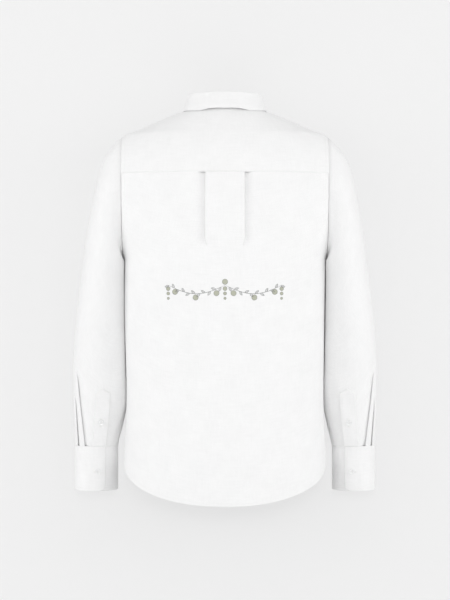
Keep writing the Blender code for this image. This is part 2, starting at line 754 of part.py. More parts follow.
def pleated_ring(level):
    """(turn, lift) round the sleeve, through the folds of its pleats."""
    z = float(SLEEVE_CURVES["outer_z"](level))
    girth = sleeve_girth(level)
    path = [(0.0, 0.0)]
    for pleat in SLEEVE_PLEATS:
        share = (pleat.top_z - z) / (pleat.top_z - CUFF_TOP_Z)
        lap, opening = fold_state(share, pleat.lap, SLEEVE_OPENING_SHARE)
        edge = girth * mix(pleat.top_turn, pleat.cuff_turn, min(max(share, 0.0), 1.0))
        drop = -4 * FOLD_RADIUS * (1 - opening)
        beside = mix(SLEEVE_BESIDE, SLEEVE_FLAT_BESIDE, opening)
        path.append((mix(path[-1][0], edge - beside, 0.5), 0.0))
        path += fold(edge, lap, opening, SLEEVE_FLAT_HALF)
        path += [(edge + beside, drop), (edge + mix(2 * beside, beside + 0.4, opening), drop * 0.25)]
    start = path[-1][0]
    rest = SLEEVE_COLUMNS_REST
    path += [(mix(start, girth, k / (rest + 1)), 0.0) for k in range(1, rest + 1)]
    spread = ease((z - SPREAD_FROM_Z) / (SPREAD_TO_Z - SPREAD_FROM_Z))
    pleated = len(path) - rest
    ring = []
    for k, (along, lift) in enumerate(path):
        if k < pleated:
            wide = SPREAD_TURN * k / pleated
        else:
            wide = mix(SPREAD_TURN, 1.0, (k - pleated) / rest)
        ring.append((mix(along / girth, wide, spread), lift * (1 - spread)))
    return ring


def sleeve_rows():
    first = [
        armhole_point(turn, shift=ARMHOLE_SHIFT, inset=ARMHOLE_INSET) for turn, _ in pleated_ring(1.0)
    ]
    rows = [first]
    for level in SLEEVE_LEVELS:
        rows.append([sleeve_point(turn, level, lift - CLOTH / 2) for turn, lift in pleated_ring(level)])
    return rows


def cuff_point(turn, z, lift):
    """A point of the left cuff, which goes straight down from the sleeve's last ring."""
    last = float(len(SLEEVE))
    point = on_sleeve(turn, last)
    around = on_sleeve(turn + 0.005, last) - on_sleeve(turn - 0.005, last)
    outward = unit(np.array([around[1], -around[0], 0.0]))
    return np.array([point[0], point[1], z]) - lift * outward * -1


def cuff_lift(turn):
    share = (turn - CUFF_UNDER_TURN) / (CUFF_OVER_TURN - CUFF_UNDER_TURN)
    return mix(-CUFF_SPIRAL, CUFF_SPIRAL, share) - DOUBLE_CLOTH / 2


def cuff_rows():
    girth = sleeve_girth(float(len(SLEEVE)))
    corner = CUFF_CORNER / girth
    turns = list(np.linspace(CUFF_UNDER_TURN, CUFF_OVER_TURN - corner, CUFF_COLUMNS))
    turns += [CUFF_OVER_TURN - corner * math.cos(math.radians(angle)) for angle in CUFF_CORNER_ANGLES]
    rows = []
    for share in CUFF_ROWS:
        row = []
        for turn in turns:
            from_end = (CUFF_OVER_TURN - turn) * girth
            into = max(1 - from_end / CUFF_CORNER, 0.0)
            bottom = CUFF_BOTTOM_Z + CUFF_CORNER * (1 - math.sqrt(max(1 - into**2, 0.0)))
            row.append(cuff_point(turn, mix(CUFF_TOP_Z, bottom, share), cuff_lift(turn)))
        rows.append(row)
    return rows


def gauntlet_rows():
    """The sleeve placket: a strip made from the sleeve's points, moved out, with a pointed top."""
    lift = GAUNTLET_GAP + DOUBLE_CLOTH / 2
    levels = np.array(SLEEVE_LEVELS, float)
    heights = np.array([float(SLEEVE_CURVES["outer_z"](level)) for level in levels])
    rows = []
    for share in np.linspace(0.0, 1.0, GAUNTLET_ROWS):
        row = []
        for across in np.linspace(0.0, 1.0, GAUNTLET_COLUMNS + 1):
            top = GAUNTLET_TOP_Z + GAUNTLET_POINT * (1 - abs(2 * across - 1))
            z = mix(CUFF_TOP_Z + GAUNTLET_FOOT, top, share)
            level = float(np.interp(-z, -heights, levels))
            turn = GAUNTLET_EDGE_TURN - across * GAUNTLET_WIDTH / sleeve_girth(level)
            row.append(sleeve_point(turn, level, lift))
        rows.append(row)
    return rows


# Buttons


def button(name, diameter, place, normal, shirt):
    """A round button with a dished face, turned about its axis and set with its back at place."""
    radius = diameter / 2
    profile = (
        (0.0, 0.0), (radius * 0.86, 0.0), (radius, BUTTON_THICK * 0.4), (radius * 0.9, BUTTON_THICK),
        (radius * 0.68, BUTTON_THICK - BUTTON_DISH), (0.0, BUTTON_THICK - BUTTON_DISH),
    )
    bm = bmesh.new()
    points = [bm.verts.new((r * MM, 0.0, z * MM)) for r, z in profile]
    edges = [bm.edges.new(pair) for pair in zip(points, points[1:])]
    bmesh.ops.spin(
        bm, geom=points + edges, axis=(0, 0, 1), cent=(0, 0, 0), angle=2 * math.pi, steps=BUTTON_SIDES
    )
    bmesh.ops.remove_doubles(bm, verts=bm.verts, dist=0.00001)
    bmesh.ops.recalc_face_normals(bm, faces=bm.faces)
    made = add_object(name, bm, PEARL, shirt)
    made.location = Vector(place) * MM
    made.rotation_mode = "QUATERNION"
    made.rotation_quaternion = Vector(normal).to_track_quat("Z", "Y")
    return made


def front_buttons(shirt):
    face = BAND_GAP + DOUBLE_CLOTH + SEAM_GAP
    for k in range(FRONT_BUTTONS):
        z = FRONT_BUTTON_TOP_Z - k * FRONT_BUTTON_STEP
        place = body_point(0.0, z, face, False)
        button(f"button_front_{k + 1}", FRONT_BUTTON, place, body_normal(0.0, z, False), shirt)
    low, high = (stand_point(1.0, share, 0.0) for share in (0.3, 0.7))
    upward = unit(high - low)
    outward = unit(np.cross(np.array([1.0, 0.0, 0.0]), upward))
    place = stand_point(1.0, 0.5, STAND_OVERLAP) + outward * (STAND_CLOTH / 2 + SEAM_GAP)
    button("button_collar", SMALL_BUTTON, place, outward, shirt)


def sleeve_buttons(side, sign, shirt):
    """The buttons of one cuff and one gauntlet."""
    flip = np.array([sign, 1.0, 1.0])
    lift = cuff_lift(CUFF_BUTTON_TURN) + DOUBLE_CLOTH / 2
    face = cuff_point(CUFF_BUTTON_TURN, CUFF_BUTTON_Z, lift + SEAM_GAP)
    outward = unit(face - cuff_point(CUFF_BUTTON_TURN, CUFF_BUTTON_Z, lift))
    button(f"button_cuff_{side}", SMALL_BUTTON, face * flip, outward * flip, shirt)
    levels = np.array(SLEEVE_LEVELS, float)
    heights = [-float(SLEEVE_CURVES["outer_z"](level)) for level in levels]
    level = float(np.interp(-GAUNTLET_BUTTON_Z, heights, levels))
    turn = GAUNTLET_EDGE_TURN - GAUNTLET_WIDTH / 2 / sleeve_girth(level)
    lift = GAUNTLET_GAP + DOUBLE_CLOTH
    face = sleeve_point(turn, level, lift + GAUNTLET_BUTTON_OFF)
    outward = unit(face - sleeve_point(turn, level, lift - 1.0))
    button(f"button_gauntlet_{side}", SMALL_BUTTON, face * flip, outward * flip, shirt)


def clear_scene():
    for old in list(bpy.data.objects):
        bpy.data.objects.remove(old, do_unlink=True)


def main():
    clear_scene()
    shirt = bpy.data.objects.new("shirt", None)
    bpy.context.scene.collection.objects.link(shirt)
    cloth("back", back_rows(), CLOTH, shirt, folded=True)
    cloth("yoke", yoke_rows(), DOUBLE_CLOTH, shirt)
    cloth("front_left", front_rows(True), CLOTH, shirt)
    cloth("front_right", mirrored(front_rows(False)), CLOTH, shirt)
    band_lift = BAND_GAP + DOUBLE_CLOTH / 2
    cloth("placket", band_rows(-BAND_HALF, BAND_HALF, band_lift), DOUBLE_CLOTH, shirt)
    cloth("button_band", band_rows(-BAND_HALF, BUTTON_BAND_EDGE, -DOUBLE_CLOTH / 2), DOUBLE_CLOTH, shirt)
    cloth("collar_stand", stand_rows(), STAND_CLOTH, shirt)
    cloth("collar_leaf", leaf_rows(), DOUBLE_CLOTH, shirt)
    front_buttons(shirt)
    for side, sign in (("left", 1.0), ("right", -1.0)):
        shaped = (lambda rows: rows) if sign > 0 else mirrored
        cloth(f"sleeve_{side}", shaped(sleeve_rows()), CLOTH, shirt, ring=True, folded=True)
        cloth(f"cuff_{side}", shaped(cuff_rows()), DOUBLE_CLOTH, shirt)
        cloth(f"gauntlet_{side}", shaped(gauntlet_rows()), DOUBLE_CLOTH, shirt)
        sleeve_buttons(side, sign, shirt)


main()
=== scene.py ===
"""The looks of a long-sleeved oxford shirt: its cut pieces as thin cloth, with seams, stitches and buttons.

The front faces -Y, the back +Y and the wearer's left +X. Sizes are in millimetres, and meshes are in metres.
"""

import logging
import math
from dataclasses import dataclass, field, replace
from enum import Enum

import bpy
import numpy as np
from mathutils import Matrix, Vector


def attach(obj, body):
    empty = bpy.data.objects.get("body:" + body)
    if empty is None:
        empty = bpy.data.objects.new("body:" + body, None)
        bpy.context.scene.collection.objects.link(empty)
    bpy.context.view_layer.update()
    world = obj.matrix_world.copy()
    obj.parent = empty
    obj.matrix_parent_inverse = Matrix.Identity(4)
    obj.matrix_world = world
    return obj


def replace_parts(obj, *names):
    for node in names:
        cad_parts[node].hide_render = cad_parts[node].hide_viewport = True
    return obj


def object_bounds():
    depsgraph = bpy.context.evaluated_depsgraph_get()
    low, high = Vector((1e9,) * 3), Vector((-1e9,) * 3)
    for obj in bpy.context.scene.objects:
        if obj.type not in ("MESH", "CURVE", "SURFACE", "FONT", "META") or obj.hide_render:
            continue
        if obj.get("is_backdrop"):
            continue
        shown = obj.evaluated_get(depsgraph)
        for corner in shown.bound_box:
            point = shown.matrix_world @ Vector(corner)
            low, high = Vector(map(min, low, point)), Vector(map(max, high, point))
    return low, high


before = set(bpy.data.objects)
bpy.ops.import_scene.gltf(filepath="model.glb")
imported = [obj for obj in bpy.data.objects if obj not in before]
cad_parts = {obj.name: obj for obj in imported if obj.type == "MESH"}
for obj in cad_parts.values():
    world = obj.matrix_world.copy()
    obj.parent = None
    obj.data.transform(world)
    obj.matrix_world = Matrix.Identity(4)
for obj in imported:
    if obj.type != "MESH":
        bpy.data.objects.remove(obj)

Array = np.ndarray
Value = float | np.ndarray
MM = 0.001
CHUNK = 12000
TINY = 1e-9
TURN_STEP = 0.005
LEVEL_STEP = 0.05
LEAST_CUT_SHARE = 0.31
LOG = logging.getLogger("shirt")


class Facing(Enum):
    """Which half of the body a piece lies on."""

    BACK = True
    FRONT = False


class Side(Enum):
    """Which of the wearer's sides a piece is on."""

    LEFT = 1.0
    RIGHT = -1.0

    @property
    def word(self) -> str:
        """The side's word in names."""
        return self.name.lower()

    @property
    def flip(self) -> Array:
        """What turns a point of the left side into one of this side."""
        return np.array([self.value, 1.0, 1.0])


def mix(start: Value, end: Value, share: Value) -> Value:
    """A value part of the way from start to end."""
    return start + (end - start) * share


def ease(share: Value) -> Value:
    """0 to 1 as share goes from 0 to 1, level at both ends."""
    share = np.clip(share, 0.0, 1.0)
    return share * share * (3 - 2 * share)


def unit(vectors: Array) -> Array:
    """The vectors at length one."""
    return vectors / np.maximum(np.linalg.norm(vectors, axis=-1, keepdims=True), TINY)


def spaced(start: float, end: float, step: float) -> Array:
    """Places from start to end, about a step apart."""
    return np.linspace(start, end, max(int(round(abs(end - start) / step)), 1) + 1)


def strides(points: Array, axis: int = 0) -> Array:
    """How far it is from each point to the next along an axis."""
    return np.linalg.norm(np.diff(points, axis=axis), axis=-1)


def sums(steps: Array, axis: int = -1) -> Array:
    """How far each place is from the first, from the steps between them."""
    return np.insert(np.cumsum(steps, axis=axis), 0, 0.0, axis=axis)


def pick(table: Array, distance: Array, wanted: Array) -> Array:
    """Values of each row of a table at a distance along that row.

    Args:
        table: N rows of S values.
        distance: N rows of S rising distances.
        wanted: N distances.

    Returns:
        N values.
    """
    low = np.clip((distance < wanted[:, None]).sum(axis=1) - 1, 0, distance.shape[1] - 2)
    rows = np.arange(len(wanted))
    start, end = distance[rows, low], distance[rows, low + 1]
    share = np.clip((wanted - start) / np.maximum(end - start, TINY), 0.0, 1.0)
    return mix(table[rows, low], table[rows, low + 1], share)


class Curve:
    """A smooth curve through values at rising places, which never passes above or below them."""

    def __init__(self, places: list[float] | Array, values: list[float] | Array) -> None:
        """Finds the curve's slopes at its places.

        Args:
            places: Rising places.
            values: The value at each place.
        """
        self.places = np.array(places, float)
        self.values = np.array(values, float)
        slope = np.diff(self.values) / np.diff(self.places)
        before, after = slope[:-1], slope[1:]
        bends = before * after > 0
        mean = 2 * before * after / np.where(bends, before + after, 1.0)
        self.tangents = np.concatenate([slope[:1], np.where(bends, mean, 0.0), slope[-1:]])

    def __call__(self, place: Value) -> Value:
        """The curve's value at a place, or at an array of them.

        Args:
            place: Where the curve is read, held within its ends.

        Returns:
            The value there.
        """
        place = np.clip(place, self.places[0], self.places[-1])
        low = np.clip(np.searchsorted(self.places, place) - 1, 0, len(self.places) - 2)
        span = self.places[low + 1] - self.places[low]
        t = (place - self.places[low]) / span
        start, end = self.values[low], self.values[low + 1]
        rise, fall = self.tangents[low] * span, self.tangents[low + 1] * span
        return (
            start * (1 + 2 * t) * (1 - t) ** 2
            + rise * t * (1 - t) ** 2
            + end * t * t * (3 - 2 * t)
            - fall * t * t * (1 - t)
        )


@dataclass(frozen=True)
class BodyRing:
    """The body's outline at one height."""

    z: float
    edge_x: float
    back_y: float
    front_y: float
    square: float


@dataclass(frozen=True)
class BodyForm:
    """The outer face of the shirt's body, from the hem over the shoulders to the neck."""

    rings: tuple[BodyRing, ...] = (
        BodyRing(-720, 185.5, 124, 118, 2.5),
        BodyRing(-640, 185, 126, 120, 2.5),
        BodyRing(-520, 180.5, 126, 120, 2.5),
        BodyRing(-400, 182.5, 128.4, 122.4, 2.5),
        BodyRing(-325, 184, 129.6, 123.4, 2.5),
        BodyRing(-270, 185, 129.3, 122.6, 2.5),
        BodyRing(-200, 185.6, 126.3, 118.4, 2.5),
        BodyRing(-160, 186, 122, 112, 2.45),
        BodyRing(-117, 186.4, 115, 100, 2.35),
        BodyRing(-80, 186.7, 106, 82, 2.2),
        BodyRing(-46, 187, 93.5, 67, 2.05),
        BodyRing(-32, 156, 86, 61, 2),
        BodyRing(-15.5, 119, 76, 55, 2),
        BodyRing(-3.6, 90, 67.5, 51, 2),
        BodyRing(2.5, 70, 62, 48, 2),
        BodyRing(8, 58, 56, 45, 2),
    )
    shoulder_z: float = -46.0
    underarm_z: float = -270.0
    armhole_back: float = 70.0
    armhole_front: float = 66.0
    armhole_square: float = 2.2
    yoke_seam_z: float = -117.0
    neck_x: float = 70.0
    neck_back_y: float = 62.0
    neck_front_y: float = 78.0
    samples: int = 90
    halvings: int = 24
    curves: dict = field(default_factory=dict)

    def __post_init__(self) -> None:
        """Makes a curve of each size of the rings."""
        for name in ("edge_x", "back_y", "front_y", "square"):
            values = [getattr(ring, name) for ring in self.rings]
            self.curves[name] = Curve([ring.z for ring in self.rings], values)

    def armhole_depth(self, z: Value, facing: Facing) -> Value:
        """How far the armhole's seam stands to the back or front at height z.

        Args:
            z: Height.
            facing: The half of the body.

        Returns:
            The distance from the middle plane.
        """
        middle = (self.shoulder_z + self.underarm_z) / 2
        half = (self.shoulder_z - self.underarm_z) / 2
        rise = np.clip(np.abs((z - middle) / half), 0.0, 1.0)
        depth = self.armhole_back if facing is Facing.BACK else self.armhole_front
        return depth * (1 - rise**self.armhole_square) ** (1 / self.armhole_square)

    def outline(self, z: Value, facing: Facing) -> tuple[Value, Value, Value, Value]:
        """The outline's reach past the armhole, its depth, squareness and side edge at height z.

        Args:
            z: Height.
            facing: The half of the body.

        Returns:
            The four values.
        """
        depth = self.curves["back_y" if facing is Facing.BACK else "front_y"](z)
        square = self.curves["square"](z)
        edge_x = self.curves["edge_x"](z)
        reach = edge_x / (1 - (self.armhole_depth(z, facing) / depth) ** square) ** (1 / square)
        return reach, depth, square, edge_x

    def section(self, z: Array, facing: Facing) -> tuple[Array, Array, Array]:
        """Points from the centre line to the seam, a row for each height, and how far along each is.

        Args:
            z: N heights.
            facing: The half of the body.

        Returns:
            x, y and the distance from the centre line, N rows each.
        """
        reach, depth, square, edge_x = (value[:, None] for value in self.outline(z, facing))
        last = np.arcsin(np.minimum((edge_x / reach) ** (square / 2), 1.0))
        angle = last * np.linspace(0.0, 1.0, self.samples)[None, :]
        x = reach * np.sin(angle) ** (2 / square)
        y = depth * np.maximum(np.cos(angle), 0.0) ** (2 / square) * (1.0 if facing is Facing.BACK else -1.0)
        steps = np.hypot(np.diff(x, axis=1), np.diff(y, axis=1))
        return x, y, sums(steps)

    def length(self, z: Value, facing: Facing) -> Array:
        """How far it is round from the centre line to the seam at each height."""
        z = np.atleast_1d(np.asarray(z, float))
        return self.section(z.ravel(), facing)[2][:, -1].reshape(z.shape)

    def on(self, along: Value, z: Value, facing: Facing) -> Array:
        """Points of the outer face, along mm from the centre line at height z.

        Args:
            along: Distance from the centre line, below zero on the wearer's right.
            z: Height.
            facing: The half of the body.

        Returns:
            A point for each pair.
        """
        along, z = np.broadcast_arrays(np.asarray(along, float), np.asarray(z, float))
        wanted, heights, sign = np.abs(along).ravel(), z.ravel(), np.where(along.ravel() < 0, -1.0, 1.0)
        out = np.empty((wanted.size, 3))
        for part in np.array_split(np.arange(wanted.size), wanted.size // CHUNK + 1):
            x, y, distance = self.section(heights[part], facing)
            out[part, 0] = sign[part] * pick(x, distance, wanted[part])
            out[part, 1] = pick(y, distance, wanted[part])
            out[part, 2] = heights[part]
        return out.reshape(along.shape + (3,))

    def normal(self, along: Value, z: Value, facing: Facing) -> Array:
        """Outward normals of the outer face.

        Args:
            along: Distance from the centre line.
            z: Height.
            facing: The half of the body.

        Returns:
            A unit vector for each pair.
        """
        along, z = np.broadcast_arrays(np.asarray(along, float), np.asarray(z, float))
        near = np.copysign(np.minimum(np.abs(along), self.length(z, facing) - 1.5), along)
        across = self.on(near + 1, z, facing) - self.on(near - 1, z, facing)
        upward = self.on(near, z + 1, facing) - self.on(near, z - 1, facing)
        return unit(np.cross(across, upward)) * (-1.0 if facing is Facing.BACK else 1.0)

    def height(self, x: Value, y: Value) -> Array:
        """How high the outer face lies over (x, y), on the shoulders, round the neck and on the upper chest.

        Args:
            x: Places to the side.
            y: Places to the back.

        Returns:
            The face's z over each place.
        """
        x, y = np.broadcast_arrays(np.abs(np.asarray(x, float)), np.asarray(y, float))
        low, high = np.full(x.shape, self.yoke_seam_z - 25.0), np.full(x.shape, self.rings[-1].z)
        for _ in range(self.halvings):
            middle = (low + high) / 2
            inside = np.zeros(x.shape, bool)
            for facing in Facing:
                reach, depth, square, _ = self.outline(middle, facing)
                within = (x / reach) ** square + (np.abs(y) / depth) ** square <= 1
                inside |= within & ((y >= 0) == facing.value)
            low, high = np.where(inside, middle, low), np.where(inside, high, middle)
        return (low + high) / 2

    def upper_normal(self, x: Value, y: Value) -> Array:
        """Outward normals of the face over (x, y).

        Args:
            x: Places to the side.
            y: Places to the back.

        Returns:
            A unit vector for each place.
        """
        step = 0.5
        slope_x = (self.height(x + step, y) - self.height(x - step, y)) / (2 * step)
        slope_y = (self.height(x, y + step) - self.height(x, y - step)) / (2 * step)
        return unit(np.stack([-slope_x, -slope_y, np.ones_like(slope_x)], axis=-1))

    def upper(self, x: Value, y: Value) -> Array:
        """Points of the face over (x, y)."""
        return np.stack([x, y, self.height(x, y)], axis=-1)

    def over(self, start: Array, end: tuple[float, float], count: int) -> Array:
        """Evenly spaced points along the face, between two places given by x and y.

        Args:
            start: The first point's x and y.
            end: The last point's x and y.
            count: How many points.

        Returns:
            The points.
        """
        shares = np.linspace(0.0, 1.0, 60)
        path = self.upper(mix(start[0], end[0], shares), mix(start[1], end[1], shares))
        return resample(path, count)

    def armhole(self, turns: Value, shift: float = 0.0, inset: float = 0.0) -> Array:
        """The armhole's seam at turns from the shoulder, through the back at a quarter.

        Args:
            turns: Shares of the way round.
            shift: How far outwards the line lies.
            inset: How much smaller its loop is.

        Returns:
            A point for each turn.
        """
        turns = np.atleast_1d(np.asarray(turns, float))
        angles = np.linspace(0.0, math.pi, 240)
        power = 2 / self.armhole_square
        half = (self.shoulder_z - self.underarm_z) / 2 - inset
        rise = np.sign(np.cos(angles)) * np.abs(np.cos(angles)) ** power
        z = (self.shoulder_z + self.underarm_z) / 2 + half * rise
        wrapped = turns % 1.0
        out = np.empty((len(turns), 3))
        for facing in Facing:
            depth = self.armhole_back if facing is Facing.BACK else -self.armhole_front
            y = depth * (1 - inset / self.armhole_back) * np.sin(angles) ** power
            along = sums(np.hypot(np.diff(y), np.diff(z)))
            chosen = (wrapped <= 0.5) == facing.value
            share = wrapped[chosen] * 2 if facing is Facing.BACK else 2 - wrapped[chosen] * 2
            out[chosen, 1] = np.interp(share * along[-1], along, y)
            out[chosen, 2] = np.interp(share * along[-1], along, z)
        out[:, 0] = self.curves["edge_x"](np.minimum(out[:, 2], self.shoulder_z)) + shift
        return out

    def neckline(self, turns: Value) -> tuple[Array, Array]:
        """x and y of the collar seam, from the middle of the back at 0 to the middle of the front at 1.

        Args:
            turns: Shares of the way round one half of the neck.

        Returns:
            x and y for each turn.
        """
        angle = math.pi * np.asarray(turns, float)
        depth = np.where(np.cos(angle) >= 0, self.neck_back_y, self.neck_front_y)
        return self.neck_x * np.sin(angle), depth * np.cos(angle)

    def neck_turn(self, y: float) -> float:
        """The turn at which the front neckline is at y."""
        return math.acos(y / self.neck_front_y) / math.pi

    def armhole_turn_front(self, y: float) -> float:
        """The turn round the armhole, ahead of the shoulder, at which its seam stands at y."""
        turns = np.linspace(1.0, 0.85, 200)
        return float(np.interp(-y, -self.armhole(turns)[:, 1], turns))

    def armhole_turn_back(self, z: float) -> float:
        """The turn round the armhole, behind the shoulder, at which its seam is at height z."""
        turns = np.linspace(0.0, 0.3, 200)
        return float(np.interp(-z, -self.armhole(turns)[:, 2], turns))


def resample(path: Array, count: int) -> Array:
    """The path's points, spaced evenly along it.

    Args:
        path: Points of a line.
        count: How many points to make.

    Returns:
        The new points.
    """
    along = sums(strides(path))
    wanted = np.linspace(0.0, along[-1], count)
    return np.stack([np.interp(wanted, along, path[:, axis]) for axis in range(path.shape[1])], axis=1)


@dataclass(frozen=True)
class SleeveRing:
    """The outermost and innermost point of one ring of the sleeve, and its depth to the back and front."""

    outer_x: float
    outer_z: float
    inner_x: float
    inner_z: float
    back_y: float
    front_y: float


@dataclass(frozen=True)
class SleeveForm:
    """The outer face of the left sleeve, ring by ring from the armhole to the cuff."""

    rings: tuple[SleeveRing, ...] = (
        SleeveRing(196, -52.5, 187.3, -269.8, 70, -66),
        SleeveRing(208.5, -66.5, 188.2, -271.6, 72, -68),
        SleeveRing(221.5, -86, 188.5, -275, 74, -71),
        SleeveRing(231.5, -115, 188.5, -280, 75, -73.5),
        SleeveRing(240.5, -157, 188.3, -288, 75, -75),
        SleeveRing(249.5, -203, 188, -300, 73, -76),
        SleeveRing(258, -255, 187.5, -322, 70, -76.5),
        SleeveRing(265.5, -308, 187, -354, 65, -77),
        SleeveRing(272.5, -366, 186.5, -394, 58, -77),
        SleeveRing(277.5, -422, 186, -436, 49, -76.5),
        SleeveRing(280, -476, 186, -482, 39, -76),
        SleeveRing(280, -527, 187, -528, 29, -75),
        SleeveRing(279, -572, 191, -572, 20, -72),
        SleeveRing(277.5, -611.6, 197.5, -611.6, 12, -68),
    )
    square: float = 2.2
    samples: int = 181
    curves: dict = field(default_factory=dict)

    def __post_init__(self) -> None:
        """Makes a curve of each size of the rings."""
        for name in SleeveRing.__dataclass_fields__:
            places = range(1, len(self.rings) + 1)
            self.curves[name] = Curve(places, [getattr(ring, name) for ring in self.rings])

    @property
    def last(self) -> float:
        """The level of the ring at the cuff."""
        return float(len(self.rings))

    def ring(self, level: Array) -> tuple[Array, Array, Array, Array]:
        """Points round the sleeve, a row for each level, and how far round each is.

        Args:
            level: N levels.

        Returns:
            x, y, z and the distance round, N rows each.
        """
        value = {name: curve(level)[:, None] for name, curve in self.curves.items()}
        angles = np.linspace(0.0, 2 * math.pi, self.samples)
        power = 2 / self.square
        out = (np.sign(np.cos(angles)) * np.abs(np.cos(angles)) ** power)[None, :]
        back = (np.sign(np.sin(angles)) * np.abs(np.sin(angles)) ** power)[None, :]
        x = (value["outer_x"] + value["inner_x"]) / 2 + out * (value["outer_x"] - value["inner_x"]) / 2
        y = (value["back_y"] + value["front_y"]) / 2 + back * (value["back_y"] - value["front_y"]) / 2
        z = (value["outer_z"] + value["inner_z"]) / 2 + out * (value["outer_z"] - value["inner_z"]) / 2
        steps = np.sqrt(np.diff(x, axis=1) ** 2 + np.diff(y, axis=1) ** 2 + np.diff(z, axis=1) ** 2)
        return x, y, z, sums(steps)

    def girth(self, level: Value) -> Array:
        """How far round the sleeve is at each level."""
        return self.ring(np.atleast_1d(np.asarray(level, float)))[3][:, -1]

    def on(self, turn: Value, level: Value) -> Array:
        """Points of the outer face at a turn from the outer line towards the back, and at a level.

        Args:
            turn: Shares of the way round.
            level: Levels, from 1 at the armhole.

        Returns:
            A point for each pair.
        """
        turn, level = np.broadcast_arrays(np.asarray(turn, float), np.asarray(level, float))
        turns, levels = turn.ravel() % 1.0, level.ravel()
        out = np.empty((turns.size, 3))
        for part in np.array_split(np.arange(turns.size), turns.size // CHUNK + 1):
            x, y, z, distance = self.ring(levels[part])
            wanted = turns[part] * distance[:, -1]
            for axis, table in enumerate((x, y, z)):
                out[part, axis] = pick(table, distance, wanted)
        return out.reshape(turn.shape + (3,))

    def normal(self, turn: Value, level: Value) -> Array:
        """Outward normals of the outer face.

        Args:
            turn: Shares of the way round.
            level: Levels, from 1 at the armhole.

        Returns:
            A unit vector for each pair.
        """
        turn, level = np.broadcast_arrays(np.asarray(turn, float), np.asarray(level, float))
        around = self.on(turn + TURN_STEP, level) - self.on(turn - TURN_STEP, level)
        below = np.minimum(level + LEVEL_STEP, self.last)
        downward = self.on(turn, below) - self.on(turn, np.maximum(level - LEVEL_STEP, 1.0))
        return -unit(np.cross(around, downward))

    def level_at(self, z: Value) -> Array:
        """The level whose outer point is at height z."""
        levels = np.linspace(1.0, self.last, 400)
        return np.interp(-np.asarray(z, float), -self.curves["outer_z"](levels), levels)


BODY = BodyForm()
SLEEVE = SleeveForm()


@dataclass(frozen=True)
class Crease:
    """A soft ridge, or a trough where its height is below zero, between two places on a piece."""

    from_u: float
    from_v: float
    to_u: float
    to_v: float
    width: float
    height: float
    bow: float = 0.0

    def relief(self, u: Array, v: Array) -> Array:
        """How far it moves each point out.

        Args:
            u: Places across the piece.
            v: Places up the piece.

        Returns:
            The height at each place.
        """
        du, dv = self.to_u - self.from_u, self.to_v - self.from_v
        length = math.hypot(du, dv)
        share = ((u - self.from_u) * du + (v - self.from_v) * dv) / length**2
        off = ((v - self.from_v) * du - (u - self.from_u) * dv) / length
        inside = np.clip(share, 0.0, 1.0)
        off = off - self.bow * 4 * inside * (1 - inside)
        beyond = (share - inside) * length
        near = (off**2 + beyond**2) / self.width**2
        taper = np.sin(math.pi * np.clip(0.04 + 0.92 * inside, 0.0, 1.0)) ** 0.7
        return self.height * taper * (1 - 0.8 * near) * np.exp(-near)


def relief(creases: tuple[Crease, ...], u: Array, v: Array) -> Array:
    """The creases' heights added up, on the piece's own places.

    Args:
        creases: The piece's creases.
        u: Places across the piece.
        v: Places up the piece.

    Returns:
        The height at each place.
    """
    total = np.zeros(np.broadcast(u, v).shape)
    for crease in creases:
        total = total + crease.relief(u, v)
    return total


def drift(u: Array, v: Array, height: float, seed: float) -> Array:
    """The slight waviness of hung cloth, from a few long waves that don't repeat over a piece.

    Args:
        u: Places across the piece.
        v: Places up the piece.
        height: The waves' greatest height.
        seed: What shifts the waves.

    Returns:
        The height at each place.
    """
    waves = ((0.021, 0.006, 0.0), (0.034, -0.011, 1.7), (0.013, 0.017, 4.1), (0.047, 0.019, 2.6))
    total = sum(
        np.sin(a * u + b * v + phase + seed * (1 + 0.37 * k)) for k, (a, b, phase) in enumerate(waves)
    )
    return height * total / len(waves)


def pucker(distance: Array, along: Array, height: float) -> Array:
    """Small ripples where a seam or a row of stitches draws the cloth in, dying out away from it."""
    ripple = np.sin(along * 0.47 + 1.3 * np.sin(along * 0.061)) + 0.6 * np.sin(along * 0.29 + 2.0)
    return height * ripple * np.exp(-((distance / 7.0) ** 2))


class Edge(Enum):
    """One of a grid's four edges: whether it runs along the rows, and whether it is the last one."""

    FIRST_ROW = (True, False)
    LAST_ROW = (True, True)
    FIRST_COLUMN = (False, False)
    LAST_COLUMN = (False, True)

    @property
    def along_rows(self) -> bool:
        """Whether the edge is a row."""
        return self.value[0]

    @property
    def at_end(self) -> bool:
        """Whether it is the last row or column."""
        return self.value[1]


